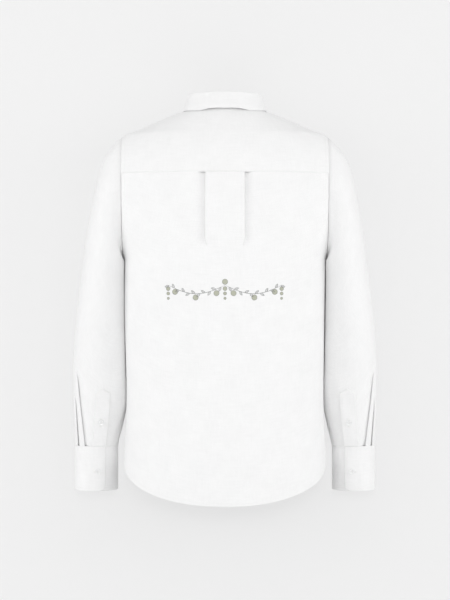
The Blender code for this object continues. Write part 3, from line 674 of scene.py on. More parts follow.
@dataclass
class Grid:
    """A cut piece's middle surface, as rows of points in mm."""

    points: Array
    outward: float
    ring: bool = False
    turned_in: Array | float = 0.0

    def normals(self) -> Array:
        """Outward normals across the grid's rows and columns.

        Returns:
            A unit vector for each point.
        """
        if self.ring:
            across = np.roll(self.points, -1, axis=1) - np.roll(self.points, 1, axis=1)
        else:
            across = np.gradient(self.points, axis=1)
        return self.outward * unit(np.cross(across, np.gradient(self.points, axis=0)))

    def mirrored(self) -> "Grid":
        """The same piece for the other side."""
        return Grid(self.points * Side.RIGHT.flip, -self.outward, self.ring, self.turned_in)

    def lengths(self) -> tuple[Array, Array]:
        """Lengths along each row and down each column."""
        points = np.concatenate([self.points, self.points[:, :1]], axis=1) if self.ring else self.points
        return strides(points, 1).sum(axis=1), strides(points).sum(axis=0)

    def cut_places(self) -> Array:
        """Each point's place on the flat cloth, measured along its row and up its column.

        Returns:
            Rows of (across, up) pairs.
        """
        u = sums(strides(self.points, 1))
        u = u - u[:, u.shape[1] // 2][:, None]
        return np.stack([u, sums(strides(self.points), 0)], axis=-1)

    def line(self, edge: Edge, inset: float, room: float | None = None) -> tuple[Array, Array]:
        """Places along the piece at a distance inside one of its edges.

        Args:
            edge: The edge it runs along.
            inset: Its distance from that edge.
            room: How far short of the two edges beside it the line ends.

        Returns:
            Rows and columns, which may lie between the grid's own.
        """
        room = inset if room is None else room
        places = self.cut_places()
        if edge.along_rows:
            table, beside = places[..., 1], places[..., 0]
        else:
            table, beside = places[..., 0].T, places[..., 1].T
        table, beside = table - table[:1], beside - beside[:, :1]
        steps = np.arange(table.shape[0])
        lines = np.arange(table.shape[1])
        wanted = [table[-1, k] - inset if edge.at_end else inset for k in lines]
        across = np.array([np.interp(wanted[k], table[:, k], steps) for k in lines])
        near = np.round(across).astype(int)
        reach = beside[near, lines]
        kept = np.ones(len(lines), bool)
        if not (self.ring and edge.along_rows):
            kept = (reach >= room) & (beside[near, -1] - reach >= room)
        across, lines = across[kept], lines[kept].astype(float)
        if self.ring and edge.along_rows:
            across, lines = np.append(across, across[0]), np.append(lines, float(len(lines)))
        return (across, lines) if edge.along_rows else (lines, across)

    def at(self, row: Array, column: Array, lift: float) -> tuple[Array, Array]:
        """Points and normals at places between the rows and columns, lifted off the middle surface.

        Args:
            row: Rows, with fractions.
            column: Columns, with fractions.
            lift: Distance off the middle surface.

        Returns:
            The points and their normals.
        """
        rows, columns = self.points.shape[:2]
        low = np.clip(np.floor(row).astype(int), 0, rows - 2)
        if self.ring:
            left = np.floor(column).astype(int) % columns
            right = (left + 1) % columns
            across = (column % columns) - left
        else:
            left = np.clip(np.floor(column).astype(int), 0, columns - 2)
            right, across = left + 1, column - left
        up, across = (row - low)[:, None], across[:, None]

        def blend(table: Array) -> Array:
            """The table's value between its four corners."""
            return mix(mix(table[low, left], table[low, right], across),
                       mix(table[low + 1, left], table[low + 1, right], across), up)

        normals = unit(blend(self.normals()))
        return blend(self.points) + normals * lift, normals

    def about(self, place: Array, across: Array, up: Array) -> tuple[Array, Array]:
        """Rows and columns at distances across and up the cloth from a place on it.

        Args:
            place: A point on the cloth.
            across: Distances across.
            up: Distances up.

        Returns:
            Rows and columns, with fractions.
        """
        gap = np.linalg.norm(self.points - place, axis=2)
        row, column = np.unravel_index(gap[:-1, :-1].argmin(), gap[:-1, :-1].shape)
        here = self.points[row, column]
        side, rise = self.points[row, column + 1] - here, self.points[row + 1, column] - here
        wide, tall = np.linalg.norm(side), np.linalg.norm(rise)
        off = place - here
        columns = column + (across + off @ side / wide) / wide
        return row + (up + off @ rise / tall) / tall, columns


def show(mesh: bpy.types.Mesh) -> bpy.types.Object:
    """Makes a piece of a mesh, which gives it its name.

    Args:
        mesh: The mesh.

    Returns:
        The object.
    """
    made = bpy.data.objects.new(mesh.name, mesh)
    bpy.context.scene.collection.objects.link(made)
    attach(made, "root")
    LOG.info("%s: %d faces", made.name, len(mesh.polygons))
    return made


@dataclass(frozen=True)
class ClothMaker:
    """Makes a cut piece's mesh: a thin wall with rounded raw edges, and the flat cut as its UV map."""

    name: str
    grid: Grid
    wall: float
    rim: float = 0.3

    def build(self) -> bpy.types.Mesh:
        """Makes the mesh.

        Returns:
            The mesh.
        """
        points, normals, outward = self.grid.points, self.grid.normals(), self.grid.outward
        rows, columns = points.shape[:2]
        inside = np.broadcast_to(self.wall / 2 + self.grid.turned_in, (rows, columns))
        inner = points - normals * inside[..., None]
        outer = points + normals * self.wall / 2
        count = rows * columns
        index = np.arange(count).reshape(rows, columns)
        if self.grid.ring:
            index = np.concatenate([index, index[:, :1]], axis=1)
        corners = [index[:-1, :-1], index[:-1, 1:], index[1:, 1:], index[1:, :-1]]
        quads = np.stack(corners, axis=-1).reshape(-1, 4)
        if outward < 0:
            quads = quads[:, ::-1]
        faces = [quads, quads[:, ::-1] + count]
        border = self.border(index)
        walls = (grid.reshape(-1, 3) for grid in (points, outer, inner))
        middle, middle_of = self.rim_points(border, *walls)
        for line in border:
            rim = np.array([middle_of[i] for i in line]) + 2 * count
            a, b = line[:-1], line[1:]
            ra, rb = rim[:-1], rim[1:]
            first = np.stack([b, a, ra, rb], axis=-1)
            second = np.stack([rb, ra, a + count, b + count], axis=-1)
            faces += [first, second] if outward > 0 else [first[:, ::-1], second[:, ::-1]]
        vertices = np.concatenate([outer.reshape(-1, 3), inner.reshape(-1, 3), middle]) * MM
        mesh = bpy.data.meshes.new(self.name)
        mesh.from_pydata(vertices.tolist(), [], np.concatenate(faces).tolist())
        cut = self.grid.cut_places().reshape(-1, 2) * MM
        ends = np.array(sorted(middle_of, key=middle_of.get), int)
        cut = np.concatenate([cut, cut, cut[ends]])
        layer = mesh.uv_layers.new(name="cut")
        corner = np.empty(len(mesh.loops), int)
        mesh.loops.foreach_get("vertex_index", corner)
        layer.data.foreach_set("uv", cut[corner].ravel())
        mesh.shade_smooth()
        mesh.set_sharp_from_angle(angle=math.radians(60))
        return mesh

    def border(self, index: Array) -> list[Array]:
        """The lines of points round the piece's raw edges, with the cloth to their left.

        Args:
            index: The points' numbers, row by row.

        Returns:
            The numbers along each line.
        """
        if self.grid.ring:
            return [index[0], index[-1, ::-1]]
        return [np.concatenate([index[0], index[1:, -1], index[-1, -2::-1], index[-2::-1, 0]])]

    def rim_points(
        self, border: list[Array], points: Array, outer: Array, inner: Array,
    ) -> tuple[Array, dict[int, int]]:
        """The points midway through the raw edge, a little outside it.

        Args:
            border: The raw edges' lines.
            points: The middle surface.
            outer: The outer face.
            inner: The inner face.

        Returns:
            The points, and the one that belongs to each point of the edge.
        """
        made, place = [], {}
        for line in border:
            closed = line[:-1] if line[0] == line[-1] else line
            ahead = points[np.roll(closed, -1)] - points[np.roll(closed, 1)]
            away = unit(np.cross(unit(ahead), outer[closed] - inner[closed]))
            away *= self.grid.outward
            middle = (outer[closed] + inner[closed]) / 2 + away * self.wall * self.rim
            for i, point in zip(closed, middle):
                place[int(i)] = len(made)
                made.append(point)
        return np.array(made), place


class Shader:
    """One material's nodes, added and joined by name."""

    def __init__(self, name: str) -> None:
        """Starts a material.

        Args:
            name: The material's name.
        """
        self.material = bpy.data.materials.new(name)
        self.material.use_nodes = True
        self.tree = self.material.node_tree
        self.principled = self.tree.nodes["Principled BSDF"]

    def add(self, kind: str, settings: dict | None = None, **inputs: object) -> bpy.types.Node:
        """A node with its settings, and its inputs set to values or joined to sockets."""
        return add_node(self.tree, kind, settings, **inputs)

    def set(self, **inputs: object) -> None:
        """Sets or joins inputs of the Principled BSDF."""
        fill(self.tree, self.principled, inputs)


def fill(tree: bpy.types.NodeTree, node: bpy.types.Node, inputs: dict[str, object]) -> None:
    """Sets a node's inputs, each to a value or to another node's socket.

    Args:
        tree: The tree that the node is in.
        node: The node.
        inputs: Values or sockets, by the input's name or by i and its number.
    """
    for key, value in inputs.items():
        numbered = key[0] == "i" and key[1:].isdigit()
        socket = node.inputs[int(key[1:]) if numbered else key.replace("_", " ")]
        if isinstance(value, bpy.types.NodeSocket):
            tree.links.new(value, socket)
        else:
            socket.default_value = value


def add_node(
    tree: bpy.types.NodeTree, kind: str, settings: dict | None = None, **inputs: object
) -> bpy.types.Node:
    """A node of a kind, with its settings and inputs.

    Args:
        tree: The tree that it goes into.
        kind: The node's type.
        settings: Its own settings.
        **inputs: Its inputs, as in fill.

    Returns:
        The node.
    """
    node = tree.nodes.new(kind)
    for key, value in (settings or {}).items():
        setattr(node, key, value)
    fill(tree, node, inputs)
    return node


def maths(
    tree: bpy.types.NodeTree, operation: str, first: object, second: object = None
) -> bpy.types.NodeSocket:
    """A Math node's value."""
    inputs = {"i0": first} if second is None else {"i0": first, "i1": second}
    return add_node(tree, "ShaderNodeMath", {"operation": operation}, **inputs).outputs[0]


class WeaveGroup:
    """The oxford's weave on the flat cut: pairs of warp threads over single weft threads."""

    name = "Oxford weave"

    @classmethod
    def get(cls) -> bpy.types.NodeTree:
        """The node group, made the first time."""
        made = bpy.data.node_groups.get(cls.name)
        return made if made else cls().build()

    def build(self) -> bpy.types.NodeTree:
        """Makes the group, which gives the threads' height, and their shade: random slub tone, with painted
        shade darkening the valleys between the threads.

        Returns:
            The group.
        """
        tree = bpy.data.node_groups.new(self.name, "ShaderNodeTree")
        face = tree.interface
        face.new_socket("Vector", in_out="INPUT", socket_type="NodeSocketVector")
        per_metre = face.new_socket("Threads per metre", in_out="INPUT", socket_type="NodeSocketFloat")
        per_metre.default_value = 2200.0
        face.new_socket("Unevenness", in_out="INPUT", socket_type="NodeSocketFloat").default_value = 2.2
        face.new_socket("Height", in_out="OUTPUT", socket_type="NodeSocketFloat")
        face.new_socket("Shade", in_out="OUTPUT", socket_type="NodeSocketFloat")
        given = tree.nodes.new("NodeGroupInput")
        result = tree.nodes.new("NodeGroupOutput")
        scaled = add_node(tree, "ShaderNodeVectorMath", {"operation": "SCALE"}, Vector=given.outputs[0],
                          Scale=given.outputs[1]).outputs[0]
        split = add_node(tree, "ShaderNodeSeparateXYZ", Vector=scaled)
        u, v = split.outputs[0], split.outputs[1]
        both = maths(tree, "ADD", maths(tree, "FLOOR", u), maths(tree, "FLOOR", v))
        over = maths(tree, "FLOORED_MODULO", both, 2.0)
        half_turn = math.pi
        paired = maths(tree, "FRACT", maths(tree, "MULTIPLY", u, 2.0))
        warp = maths(tree, "SINE", maths(tree, "MULTIPLY", paired, half_turn))
        weft = maths(tree, "SINE", maths(tree, "MULTIPLY", maths(tree, "FRACT", v), half_turn))
        threads = add_node(tree, "ShaderNodeMix", Factor=over, A=warp, B=weft).outputs[0]
        slub = 0.0
        for stretch in ((0.24, 0.018, 1.0), (0.016, 0.2, 1.0)):
            drawn = add_node(tree, "ShaderNodeVectorMath", {"operation": "MULTIPLY"}, i0=scaled, i1=stretch)
            drawn = drawn.outputs[0]
            noise = add_node(tree, "ShaderNodeTexNoise", Vector=drawn, Scale=1.0, Detail=3.0, Roughness=0.65)
            slub = maths(tree, "ADD", maths(tree, "MULTIPLY", noise.outputs["Fac"], 0.5), slub)
        uneven = maths(tree, "MULTIPLY", slub, given.outputs[2])
        tree.links.new(maths(tree, "ADD", threads, uneven), result.inputs["Height"])
        # painted shade: the colour is darkened in the valleys between the threads, where the bump already dips
        painted_valley_shade = maths(tree, "MULTIPLY", maths(tree, "SUBTRACT", 1.0, threads), 0.07)
        soft = maths(tree, "MULTIPLY", maths(tree, "SUBTRACT", slub, 0.5), 0.16)
        tree.links.new(maths(tree, "ADD", maths(tree, "SUBTRACT", 1.0, painted_valley_shade), soft), result.inputs["Shade"])
        return tree


@dataclass(frozen=True)
class ClothFinish:
    """White cotton oxford: matt, with its weave in relief, and painted shade in the valleys of its weave."""

    name: str = "white_oxford"
    colour: tuple[float, float, float] = (0.925, 0.925, 0.925)
    roughness: float = 0.88
    sheen: float = 0.12
    relief: float = 0.00006
    threads: float = 2200.0

    def build(self) -> bpy.types.Material:
        """The material, which reads the piece's flat cut.

        Returns:
            The material.
        """
        shader = Shader(self.name)
        tree = shader.tree
        place = shader.add("ShaderNodeUVMap", {"uv_map": "cut"}).outputs[0]
        weave = shader.add("ShaderNodeGroup", {"node_tree": WeaveGroup.get()})
        fill(tree, weave, {"Vector": place, "Threads per metre": self.threads})
        broad = shader.add("ShaderNodeTexNoise", Vector=place, Scale=26.0, Detail=4.0, Roughness=0.6)
        broad = maths(tree, "MULTIPLY", broad.outputs["Fac"], 0.07)
        # the weave's Shade carries painted shade in the thread valleys; the broad noise is random tone of the
        # cloth
        shade = maths(tree, "MULTIPLY", weave.outputs["Shade"], maths(tree, "ADD", broad, 0.965))
        tint = shader.add("ShaderNodeVectorMath", {"operation": "SCALE"}, Scale=shade)
        tint.inputs[0].default_value = self.colour
        height = weave.outputs["Height"]
        bump = shader.add("ShaderNodeBump", Strength=0.5, Distance=self.relief, Height=height)
        shader.set(Base_Color=tint.outputs[0], Normal=bump.outputs[0], Roughness=self.roughness,
                   Sheen_Weight=self.sheen, Sheen_Roughness=0.6, Specular_IOR_Level=0.25)
        return shader.material


@dataclass(frozen=True)
class ThreadFinish:
    """White sewing thread, twisted."""

    name: str = "white_thread"
    colour: tuple[float, float, float] = (0.9, 0.9, 0.89)
    roughness: float = 0.6

    def build(self) -> bpy.types.Material:
        """The material, twisted along the thread.

        Returns:
            The material.
        """
        shader = Shader(self.name)
        place = shader.add("ShaderNodeTexCoord").outputs["Object"]
        twist = shader.add("ShaderNodeTexWave", {"bands_direction": "DIAGONAL"}, Vector=place, Scale=900.0,
                           Distortion=1.0).outputs["Fac"]
        level = maths(shader.tree, "ADD", maths(shader.tree, "MULTIPLY", twist, 0.08), 0.94)
        tint = shader.add("ShaderNodeVectorMath", {"operation": "SCALE"}, Scale=level)
        tint.inputs[0].default_value = self.colour
        bump = shader.add("ShaderNodeBump", Strength=0.3, Distance=0.00008, Height=twist)
        shader.set(Base_Color=tint.outputs[0], Normal=bump.outputs[0], Roughness=self.roughness,
                   Sheen_Weight=0.2)
        return shader.material


@dataclass(frozen=True)
class ButtonFinish:
    """White pearl-like resin with faint cloudy bands under a polished face."""

    name: str = "pearl_button"
    light: tuple[float, float, float, float] = (0.96, 0.96, 0.955, 1.0)
    dark: tuple[float, float, float, float] = (0.88, 0.885, 0.89, 1.0)

    def build(self) -> bpy.types.Material:
        """The material, clouded through the piece.

        Returns:
            The material.
        """
        shader = Shader(self.name)
        place = shader.add("ShaderNodeTexCoord").outputs["Object"]
        cloud = shader.add("ShaderNodeTexNoise", Vector=place, Scale=260.0, Detail=4.0, Distortion=1.2)
        cloud = cloud.outputs["Fac"]
        ramp = shader.add("ShaderNodeValToRGB", Fac=cloud)
        ramp.color_ramp.elements[0].color, ramp.color_ramp.elements[1].color = self.dark, self.light
        ramp.color_ramp.elements[0].position, ramp.color_ramp.elements[1].position = 0.35, 0.65
        rough = maths(shader.tree, "ADD", maths(shader.tree, "MULTIPLY", cloud, 0.12), 0.14)
        shader.set(Base_Color=ramp.outputs[0], Roughness=rough, Coat_Weight=0.5, Coat_Roughness=0.08)
        return shader.material


@dataclass(frozen=True)
class InkFinish:
    """Printed ink, thin enough for the weave to show through."""

    name: str
    colour: tuple[float, float, float]
    cover: float = 0.9
    cloth: tuple[float, float, float] = (0.88, 0.88, 0.87)

    def build(self) -> bpy.types.Material:
        """The material, which lets some of the cloth through.

        Returns:
            The material.
        """
        shader = Shader(self.name)
        tree = shader.tree
        place = shader.add("ShaderNodeUVMap", {"uv_map": "cut"}).outputs[0]
        weave = shader.add("ShaderNodeGroup", {"node_tree": WeaveGroup.get()})
        fill(tree, weave, {"Vector": place, "Threads per metre": ClothFinish.threads, "Unevenness": 1.5})
        grain = shader.add("ShaderNodeTexNoise", Vector=place, Scale=1500.0, Detail=2.0).outputs["Fac"]
        missed = maths(tree, "MULTIPLY", maths(tree, "GREATER_THAN", grain, 0.62), 1.0 - self.cover)
        blend = shader.add("ShaderNodeMix", {"data_type": "RGBA"})
        fill(tree, blend, {"i0": missed})
        blend.inputs[6].default_value = (*self.colour, 1.0)
        blend.inputs[7].default_value = (*self.cloth, 1.0)
        bump = shader.add("ShaderNodeBump", Strength=0.4, Distance=0.00005, Height=weave.outputs["Height"])
        shader.set(Base_Color=blend.outputs[2], Normal=bump.outputs[0], Roughness=0.7, Specular_IOR_Level=0.3)
        return shader.material


@dataclass(frozen=True)
class FoldShape:
    """How one fold of a pleat is drawn, and how it looks where it has opened out."""

    radius: float = 0.95
    least_lap: float = 0.6
    arc_steps: int = 6

    def path(self, edge: float, lap: float, opening: float, flat_half: float) -> list[tuple[float, float]]:
        """(along, lift) over the fold's edge, back under by its lap and on below, or opened out flat.

        Args:
            edge: Where the fold's edge is.
            lap: How far it laps under.
            opening: 0 where it is folded, 1 where it is flat.
            flat_half: Half its width where it is flat.

        Returns:
            The pairs.
        """
        arc = np.radians(np.linspace(90, -90, self.arc_steps + 1))
        over = [(edge + self.radius * math.cos(a), self.radius * (math.sin(a) - 1)) for a in arc]
        under = [(edge - lap - self.radius * math.cos(a), self.radius * (math.sin(a) - 3)) for a in arc]
        folded = over + under
        flat = np.linspace(edge - flat_half, edge + flat_half, len(folded))
        return [(mix(u, v, opening), mix(h, 0.0, opening)) for (u, h), v in zip(folded, flat)]

    def state(self, share: float, lap: float, opening_share: float) -> tuple[float, float]:
        """The lap and the opening of a fold, at a share of the way up to its seam."""
        return max(lap * min(share, 1.0), self.least_lap), 1 - float(ease(share / opening_share))


BACK_FOLD = FoldShape(1.35)
SLEEVE_FOLD = FoldShape()


@dataclass(frozen=True)
class Sheet:
    """What a cut piece is: its name, its grid, its wall, and the flat cloth that it was cut from."""

    name: str
    grid: Grid
    wall: float
    nodes: tuple[str, ...]
    rests_on: tuple[str, ...]
    slot: str = "cloth"
    held: str = "hung"

    def build(self, material: bpy.types.Material) -> "Sheet":
        """Args:
            material: Its finish.

        Returns:
            The sheet itself.
        """
        mesh = ClothMaker(self.name, self.grid, self.wall).build()
        mesh.materials.append(material)
        rows, columns = self.grid.lengths()
        width, length = float(rows.max()) * MM, float(columns.max()) * MM
        area = float(rows.mean() * columns.mean()) * MM * MM
        area = min(max(area, LEAST_CUT_SHARE * width * length), width * length)
        made = show(mesh)
        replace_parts(made, *self.nodes)
        LOG.info("    cut %.0f x %.0f mm, %.4f m2", width / MM, length / MM, area)
        return self


@dataclass
class Torso:
    """The back with its box pleat, the yoke, the two fronts and their bands."""

    cloth: float = 1.2
    double: float = 1.6
    seam: float = 0.3
    step: float = 3.6
    hem_back: float = -708.0
    hem_front: float = -692.0
    hem_side: float = -628.0
    hem_curve: float = 2.2
    hem_turn: float = 6.5
    hem_extra: float = 0.7
    pleat_fold: float = 33.0
    pleat_lap: float = 12.0
    pleat_end: float = -252.0
    pleat_raise: float = 1.0
    pleat_opening: float = 0.18
    pleat_level: float = 15.0
    pleat_full_above: float = 40.0
    yoke_front_neck_y: float = -22.0
    yoke_front_armhole_y: float = -28.0
    yoke_neck_share: float = 0.52
    front_neck_share: float = 0.36
    front_across: float = 178.0
    band_half: float = 16.0
    band_gap: float = 0.4
    button_band_edge: float = 13.0
    band_ramp_end: float = 44.0
    band_top_drop: float = 0.8
    band_step: float = 2.6
    band_rows: int = 30
    yoke_rows: int = 46
    yoke_neck_columns: int = 34
    yoke_shoulder_columns: int = 24
    front_columns: tuple[int, int] = (16, 28)
    front_rows: int = 34
    armhole_inset: float = 0.6
    fell: tuple[float, ...] = (13.0, 11.0, 9.6, 8.7, 8.0, 7.3, 6.0, 4.0, 2.0, 0.8, 0.0)
    fell_width: float = 8.2
    fell_height: float = 0.45
    back_creases: tuple[Crease, ...] = (
        Crease(-34, -258, -41, -395, 9, 0.8, 3),
        Crease(34, -258, 39, -430, 9, 0.8, -2),
        Crease(-150, -268, -92, -352, 13, 1.1, 8),
        Crease(152, -270, 100, -338, 13, 1, -7),
        Crease(-168, -300, -128, -430, 14, 1, -6),
        Crease(166, -310, 132, -452, 14, 1.1, 7),
        Crease(-118, -450, -132, -640, 17, 1, 5),
        Crease(109, -430, 126, -632, 16, 1, -5),
        Crease(-52, -500, -46, -690, 20, 0.8, -4),
        Crease(47, -520, 60, -688, 20, 0.8, 4),
        Crease(-160, -150, -118, -236, 12, 0.8, 5),
        Crease(162, -146, 122, -240, 12, 0.8, -6),
    )
    front_creases: tuple[Crease, ...] = (
        Crease(150, -262, 84, -330, 13, 1.3, -8),
        Crease(160, -285, 112, -415, 14, 1.2, 8),
        Crease(138, -160, 96, -235, 12, 0.9, -5),
        Crease(52, -205, 96, -196, 9, 0.6, 2),
        Crease(50, -298, 104, -306, 10, 0.7, -3),
        Crease(112, -440, 124, -625, 17, 1.1, -5),
        Crease(58, -480, 66, -670, 19, 0.9, 4),
        Crease(92, -60, 132, -112, 11, 0.8, 4),
    )
    yoke_creases: tuple[Crease, ...] = (
        Crease(-150, 12, -88, 40, 12, 0.7, 3),
        Crease(148, 14, 92, 46, 12, 0.7, -3),
    )

    def hem_z(self, share: Value, middle: float) -> Value:
        """The hem's height at a share of the way from the centre line to the side seam."""
        return mix(middle, self.hem_side, np.abs(share) ** self.hem_curve)

    def levels(self, top: float) -> Array:
        """Shares of the way up from the hem to a seam, closer together at the hem, the underarm and the seam.

        Args:
            top: The seam's height.

        Returns:
            The shares.
        """
        height = top - self.hem_side
        hem = self.hem_side + np.array([0.0, 0.7, 2.2, 3.8, 5.2, 6.2, 7.0, 8.4, 10.2])
        low = spaced(self.hem_side + 13.0, BODY.underarm_z - 8.0, self.step)
        offsets = np.array([5.5, 3.6, 2.2, 1.2, 0.5])
        near = np.concatenate([BODY.underarm_z - offsets, [BODY.underarm_z], BODY.underarm_z + offsets[::-1]])
        high = spaced(BODY.underarm_z + 8.0, top - 7.0, self.step)
        seam = top - np.array([4.6, 2.8, 1.6, 0.8, 0.0])
        return (np.concatenate([hem, low, near, high, seam]) - self.hem_side) / height

    def hem_in(self, points: Array) -> Array:
        """How much thicker the turned hem is, on its inner side."""
        return self.hem_extra * ease((self.hem_turn + 0.6 - sums(strides(points), 0)) / 1.2)

    def back_half_path(self, z: float, length: float) -> list[tuple[float, float]]:
        """(along, lift) from the centre line out to the seam, through one fold of the box pleat.

        Args:
            z: The row's height at the centre line.
            length: The row's length to the seam.

        Returns:
            The pairs.
        """
        share = (z - self.pleat_end) / (BODY.yoke_seam_z - self.pleat_full_above - self.pleat_end)
        lap, opening = BACK_FOLD.state(share, self.pleat_lap, self.pleat_opening)
        raised = self.pleat_raise * (1 - opening)
        drop = (self.pleat_raise - 4 * BACK_FOLD.radius) * (1 - opening)
        path = [(u, raised) for u in spaced(0.0, self.pleat_fold - 4.5, self.step)]
        path += [(u, h + raised) for u, h in BACK_FOLD.path(self.pleat_fold, lap, opening, 4.0)]
        beyond = self.pleat_fold + 4.5
        level = beyond + self.pleat_level
        for u in spaced(beyond, level, self.step):
            path.append((u, drop * (1 - float(ease((u - beyond) / self.pleat_level)))))
        path += [(mix(level, length - self.fell[0], k / 29), 0.0) for k in range(1, 29)]
        path += [(length - inset, 0.0) for inset in self.fell]
        return path

    def back_relief(self, along: Array, z: Array) -> Array:
        """How far the back's creases and waviness move its face out.

        Args:
            along: Distance from the centre line.
            z: Height.

        Returns:
            The distance.
        """
        room = self.seam_room(along, z, Facing.BACK)
        calm = ease((BODY.yoke_seam_z - z) / 30.0) * ease(room / 22.0)
        soft = drift(along, z, 1.5, 0.6) * ease((-z - 150.0) / 200.0)
        drawn = pucker(BODY.yoke_seam_z - z, along, 0.12) + pucker(room - self.fell_width, z, 0.12)
        return (relief(self.back_creases, along, z) + soft) * calm + drawn + self.felled(room)

    def felled(self, room: Array) -> Array:
        """The ridge of the felled seam along the armhole and the side, inside its row of stitches."""
        return -self.fell_height * ease((room - self.fell_width + 0.8) / 1.6)

    def seam_room(self, along: Array, z: Array, facing: Facing) -> Array:
        """How far a place is from the side seam or the armhole."""
        table = np.linspace(self.hem_back, BODY.yoke_seam_z, 240)
        return np.interp(z, table, BODY.length(table, facing)) - np.abs(along)

    def back(self) -> Grid:
        """The back, from its hem to the yoke's seam.

        Returns:
            The grid.
        """
        top = BODY.yoke_seam_z - self.seam / 2
        edge_z = mix(self.hem_side, top, self.levels(top))
        lengths = BODY.length(edge_z, Facing.BACK)
        along, lift, z = [], [], []
        for share, length in zip(self.levels(top), lengths):
            path = self.back_half_path(mix(self.hem_back, top, share), length - self.seam / 2)
            path = [(-u, h) for u, h in reversed(path[1:])] + path
            row = np.array(path)
            along.append(row[:, 0])
            lift.append(row[:, 1])
            z.append(mix(self.hem_z(row[:, 0] / length, self.hem_back), top, share))
        along, lift, z = np.array(along), np.array(lift), np.array(z)
        own = BODY.length(z, Facing.BACK)
        share = np.abs(along) / lengths[:, None]
        reached = along * mix(1.0, own / lengths[:, None], ease(share))
        reached = np.sign(reached) * np.minimum(np.abs(reached), own - self.seam / 2)
        moved = lift - self.cloth / 2 + self.back_relief(reached, z)
        points = BODY.on(reached, z, Facing.BACK) + moved[..., None] * BODY.normal(reached, z, Facing.BACK)
        return Grid(points, -1.0, turned_in=self.hem_in(points))

    def print_point(self, x: Array, z: Array, lift: float) -> Array:
        """Points just over the back's face, for what is printed there."""
        moved = self.back_relief(x, z) + lift
        return BODY.on(x, z, Facing.BACK) + moved[..., None] * BODY.normal(x, z, Facing.BACK)

    def yoke(self) -> Grid:
        """The yoke, from its seam on the back up and over the shoulders.

        Returns:
            The grid.
        """
        seam_z = BODY.yoke_seam_z + self.seam / 2
        length = float(BODY.length(seam_z, Facing.BACK)[0])
        last = BODY.neck_turn(self.yoke_front_neck_y)
        count = self.yoke_rows
        columns = []
        for share in np.linspace(0.0, 1.0, self.yoke_neck_columns):
            start = BODY.on(length * self.yoke_neck_share * share, seam_z, Facing.BACK)
            columns.append(BODY.over(start, BODY.neckline(last * share), count))
        neck_x = float(BODY.neckline(last)[0])
        edge_x = float(BODY.curves["edge_x"](BODY.shoulder_z))
        outer = length * (1.0 - self.yoke_neck_share)
        shoulder = np.linspace(0.0, 1.0 - self.fell[0] / outer, self.yoke_shoulder_columns)[1:-1]
        for share in np.concatenate([shoulder, self.fell_shares(outer)]):
            start = BODY.on(length * mix(self.yoke_neck_share, 1.0, share), seam_z, Facing.BACK)
            end = (mix(neck_x, edge_x, share), mix(self.yoke_front_neck_y, self.yoke_front_armhole_y, share))
            columns.append(BODY.over(start, end, count))
        half = np.array(columns).transpose(1, 0, 2)
        normals = BODY.upper_normal(half[..., 0], half[..., 1])
        half = half - normals * self.double / 2
        first = BODY.armhole_turn_back(seam_z)
        final = BODY.armhole_turn_front(self.yoke_front_armhole_y) - 1.0
        edge = BODY.armhole(np.linspace(first, final, count), inset=self.armhole_inset)
        half = np.concatenate([half, edge[:, None]], axis=1)
        half[:, 0, 0] = 0.0
        points = np.concatenate([half[:, :0:-1] * Side.RIGHT.flip, half], axis=1)
        grid = Grid(points, -1.0)
        u, v = grid.cut_places()[..., 0], grid.cut_places()[..., 1]
        room = np.abs(u[:, :1]) - np.abs(u)
        inside = ease(np.minimum(v, v[-1] - v) / 22.0) * ease(room / 22.0)
        moved = (relief(self.yoke_creases, u, v) + drift(u, v, 0.5, 2.2)) * inside
        moved = moved + self.felled(room) + pucker(room - self.fell_width, v, 0.1)
        return Grid(points + grid.normals() * moved[..., None], -1.0)

    def fell_shares(self, length: float) -> Array:
        """Shares of a length for the columns near the armhole, but for its last."""
        return 1.0 - np.array(self.fell[:-1]) / length

    def front_lift(self, along: Value, over: bool) -> Array:
        """How far a front stands out: the left one rises to its band's level near the band.

        Args:
            along: Distance from the centre line.
            over: Whether it is the left front.

        Returns:
            The distance.
        """
        base = np.full(np.shape(along), -self.cloth / 2)
        if not over:
            return base
        rise = ease((self.band_ramp_end - np.asarray(along)) / (self.band_ramp_end - self.band_half))
        return base + rise * (self.band_gap + self.double)

    def front(self, over: bool) -> Grid:
        """A front as the left one, from its hem up to the collar and yoke seams.

        Args:
            over: Whether it is the left front.

        Returns:
            The grid.
        """
        start = self.band_half + self.seam
        neck, shoulder, upper = *self.front_columns, self.front_rows
        shares = np.concatenate([
            np.linspace(0.0, self.front_neck_share, neck + 1),
            np.linspace(self.front_neck_share, 1.0 - self.fell[0] / self.front_across, shoulder + 1)[1:-1],
            self.fell_shares(self.front_across), [1.0],
        ])
        levels = self.levels(BODY.yoke_seam_z)[:, None]
        z = mix(self.hem_z(shares, self.hem_front)[None, :], BODY.yoke_seam_z, levels)
        own = BODY.length(z, Facing.FRONT)
        along = mix(start, own - self.seam / 2, shares[None, :])
        moved = self.front_lift(along, over) + self.front_relief(along, z, 0.4 if over else 3.1)
        points = BODY.on(along, z, Facing.FRONT) + moved[..., None] * BODY.normal(along, z, Facing.FRONT)
        length = float(BODY.length(BODY.yoke_seam_z, Facing.FRONT)[0]) - self.seam / 2
        past_neck = (shares[neck + 1:] - self.front_neck_share) / (1.0 - self.front_neck_share)
        tops = self.front_tops(neck, past_neck)
        columns = []
        for share, top in zip(shares[:-1], tops[:-1]):
            foot = BODY.on(mix(start, length, share), BODY.yoke_seam_z, Facing.FRONT)
            columns.append(BODY.over(foot, top, upper + 1))
        rise = np.array(columns).transpose(1, 0, 2)
        normals = BODY.upper_normal(rise[..., 0], rise[..., 1])
        rise = rise + normals * self.front_lift(rise[..., 0], over)[..., None]
        first = 1.0 - BODY.armhole_turn_back(BODY.yoke_seam_z)
        last = BODY.armhole_turn_front(self.yoke_front_armhole_y - self.seam)
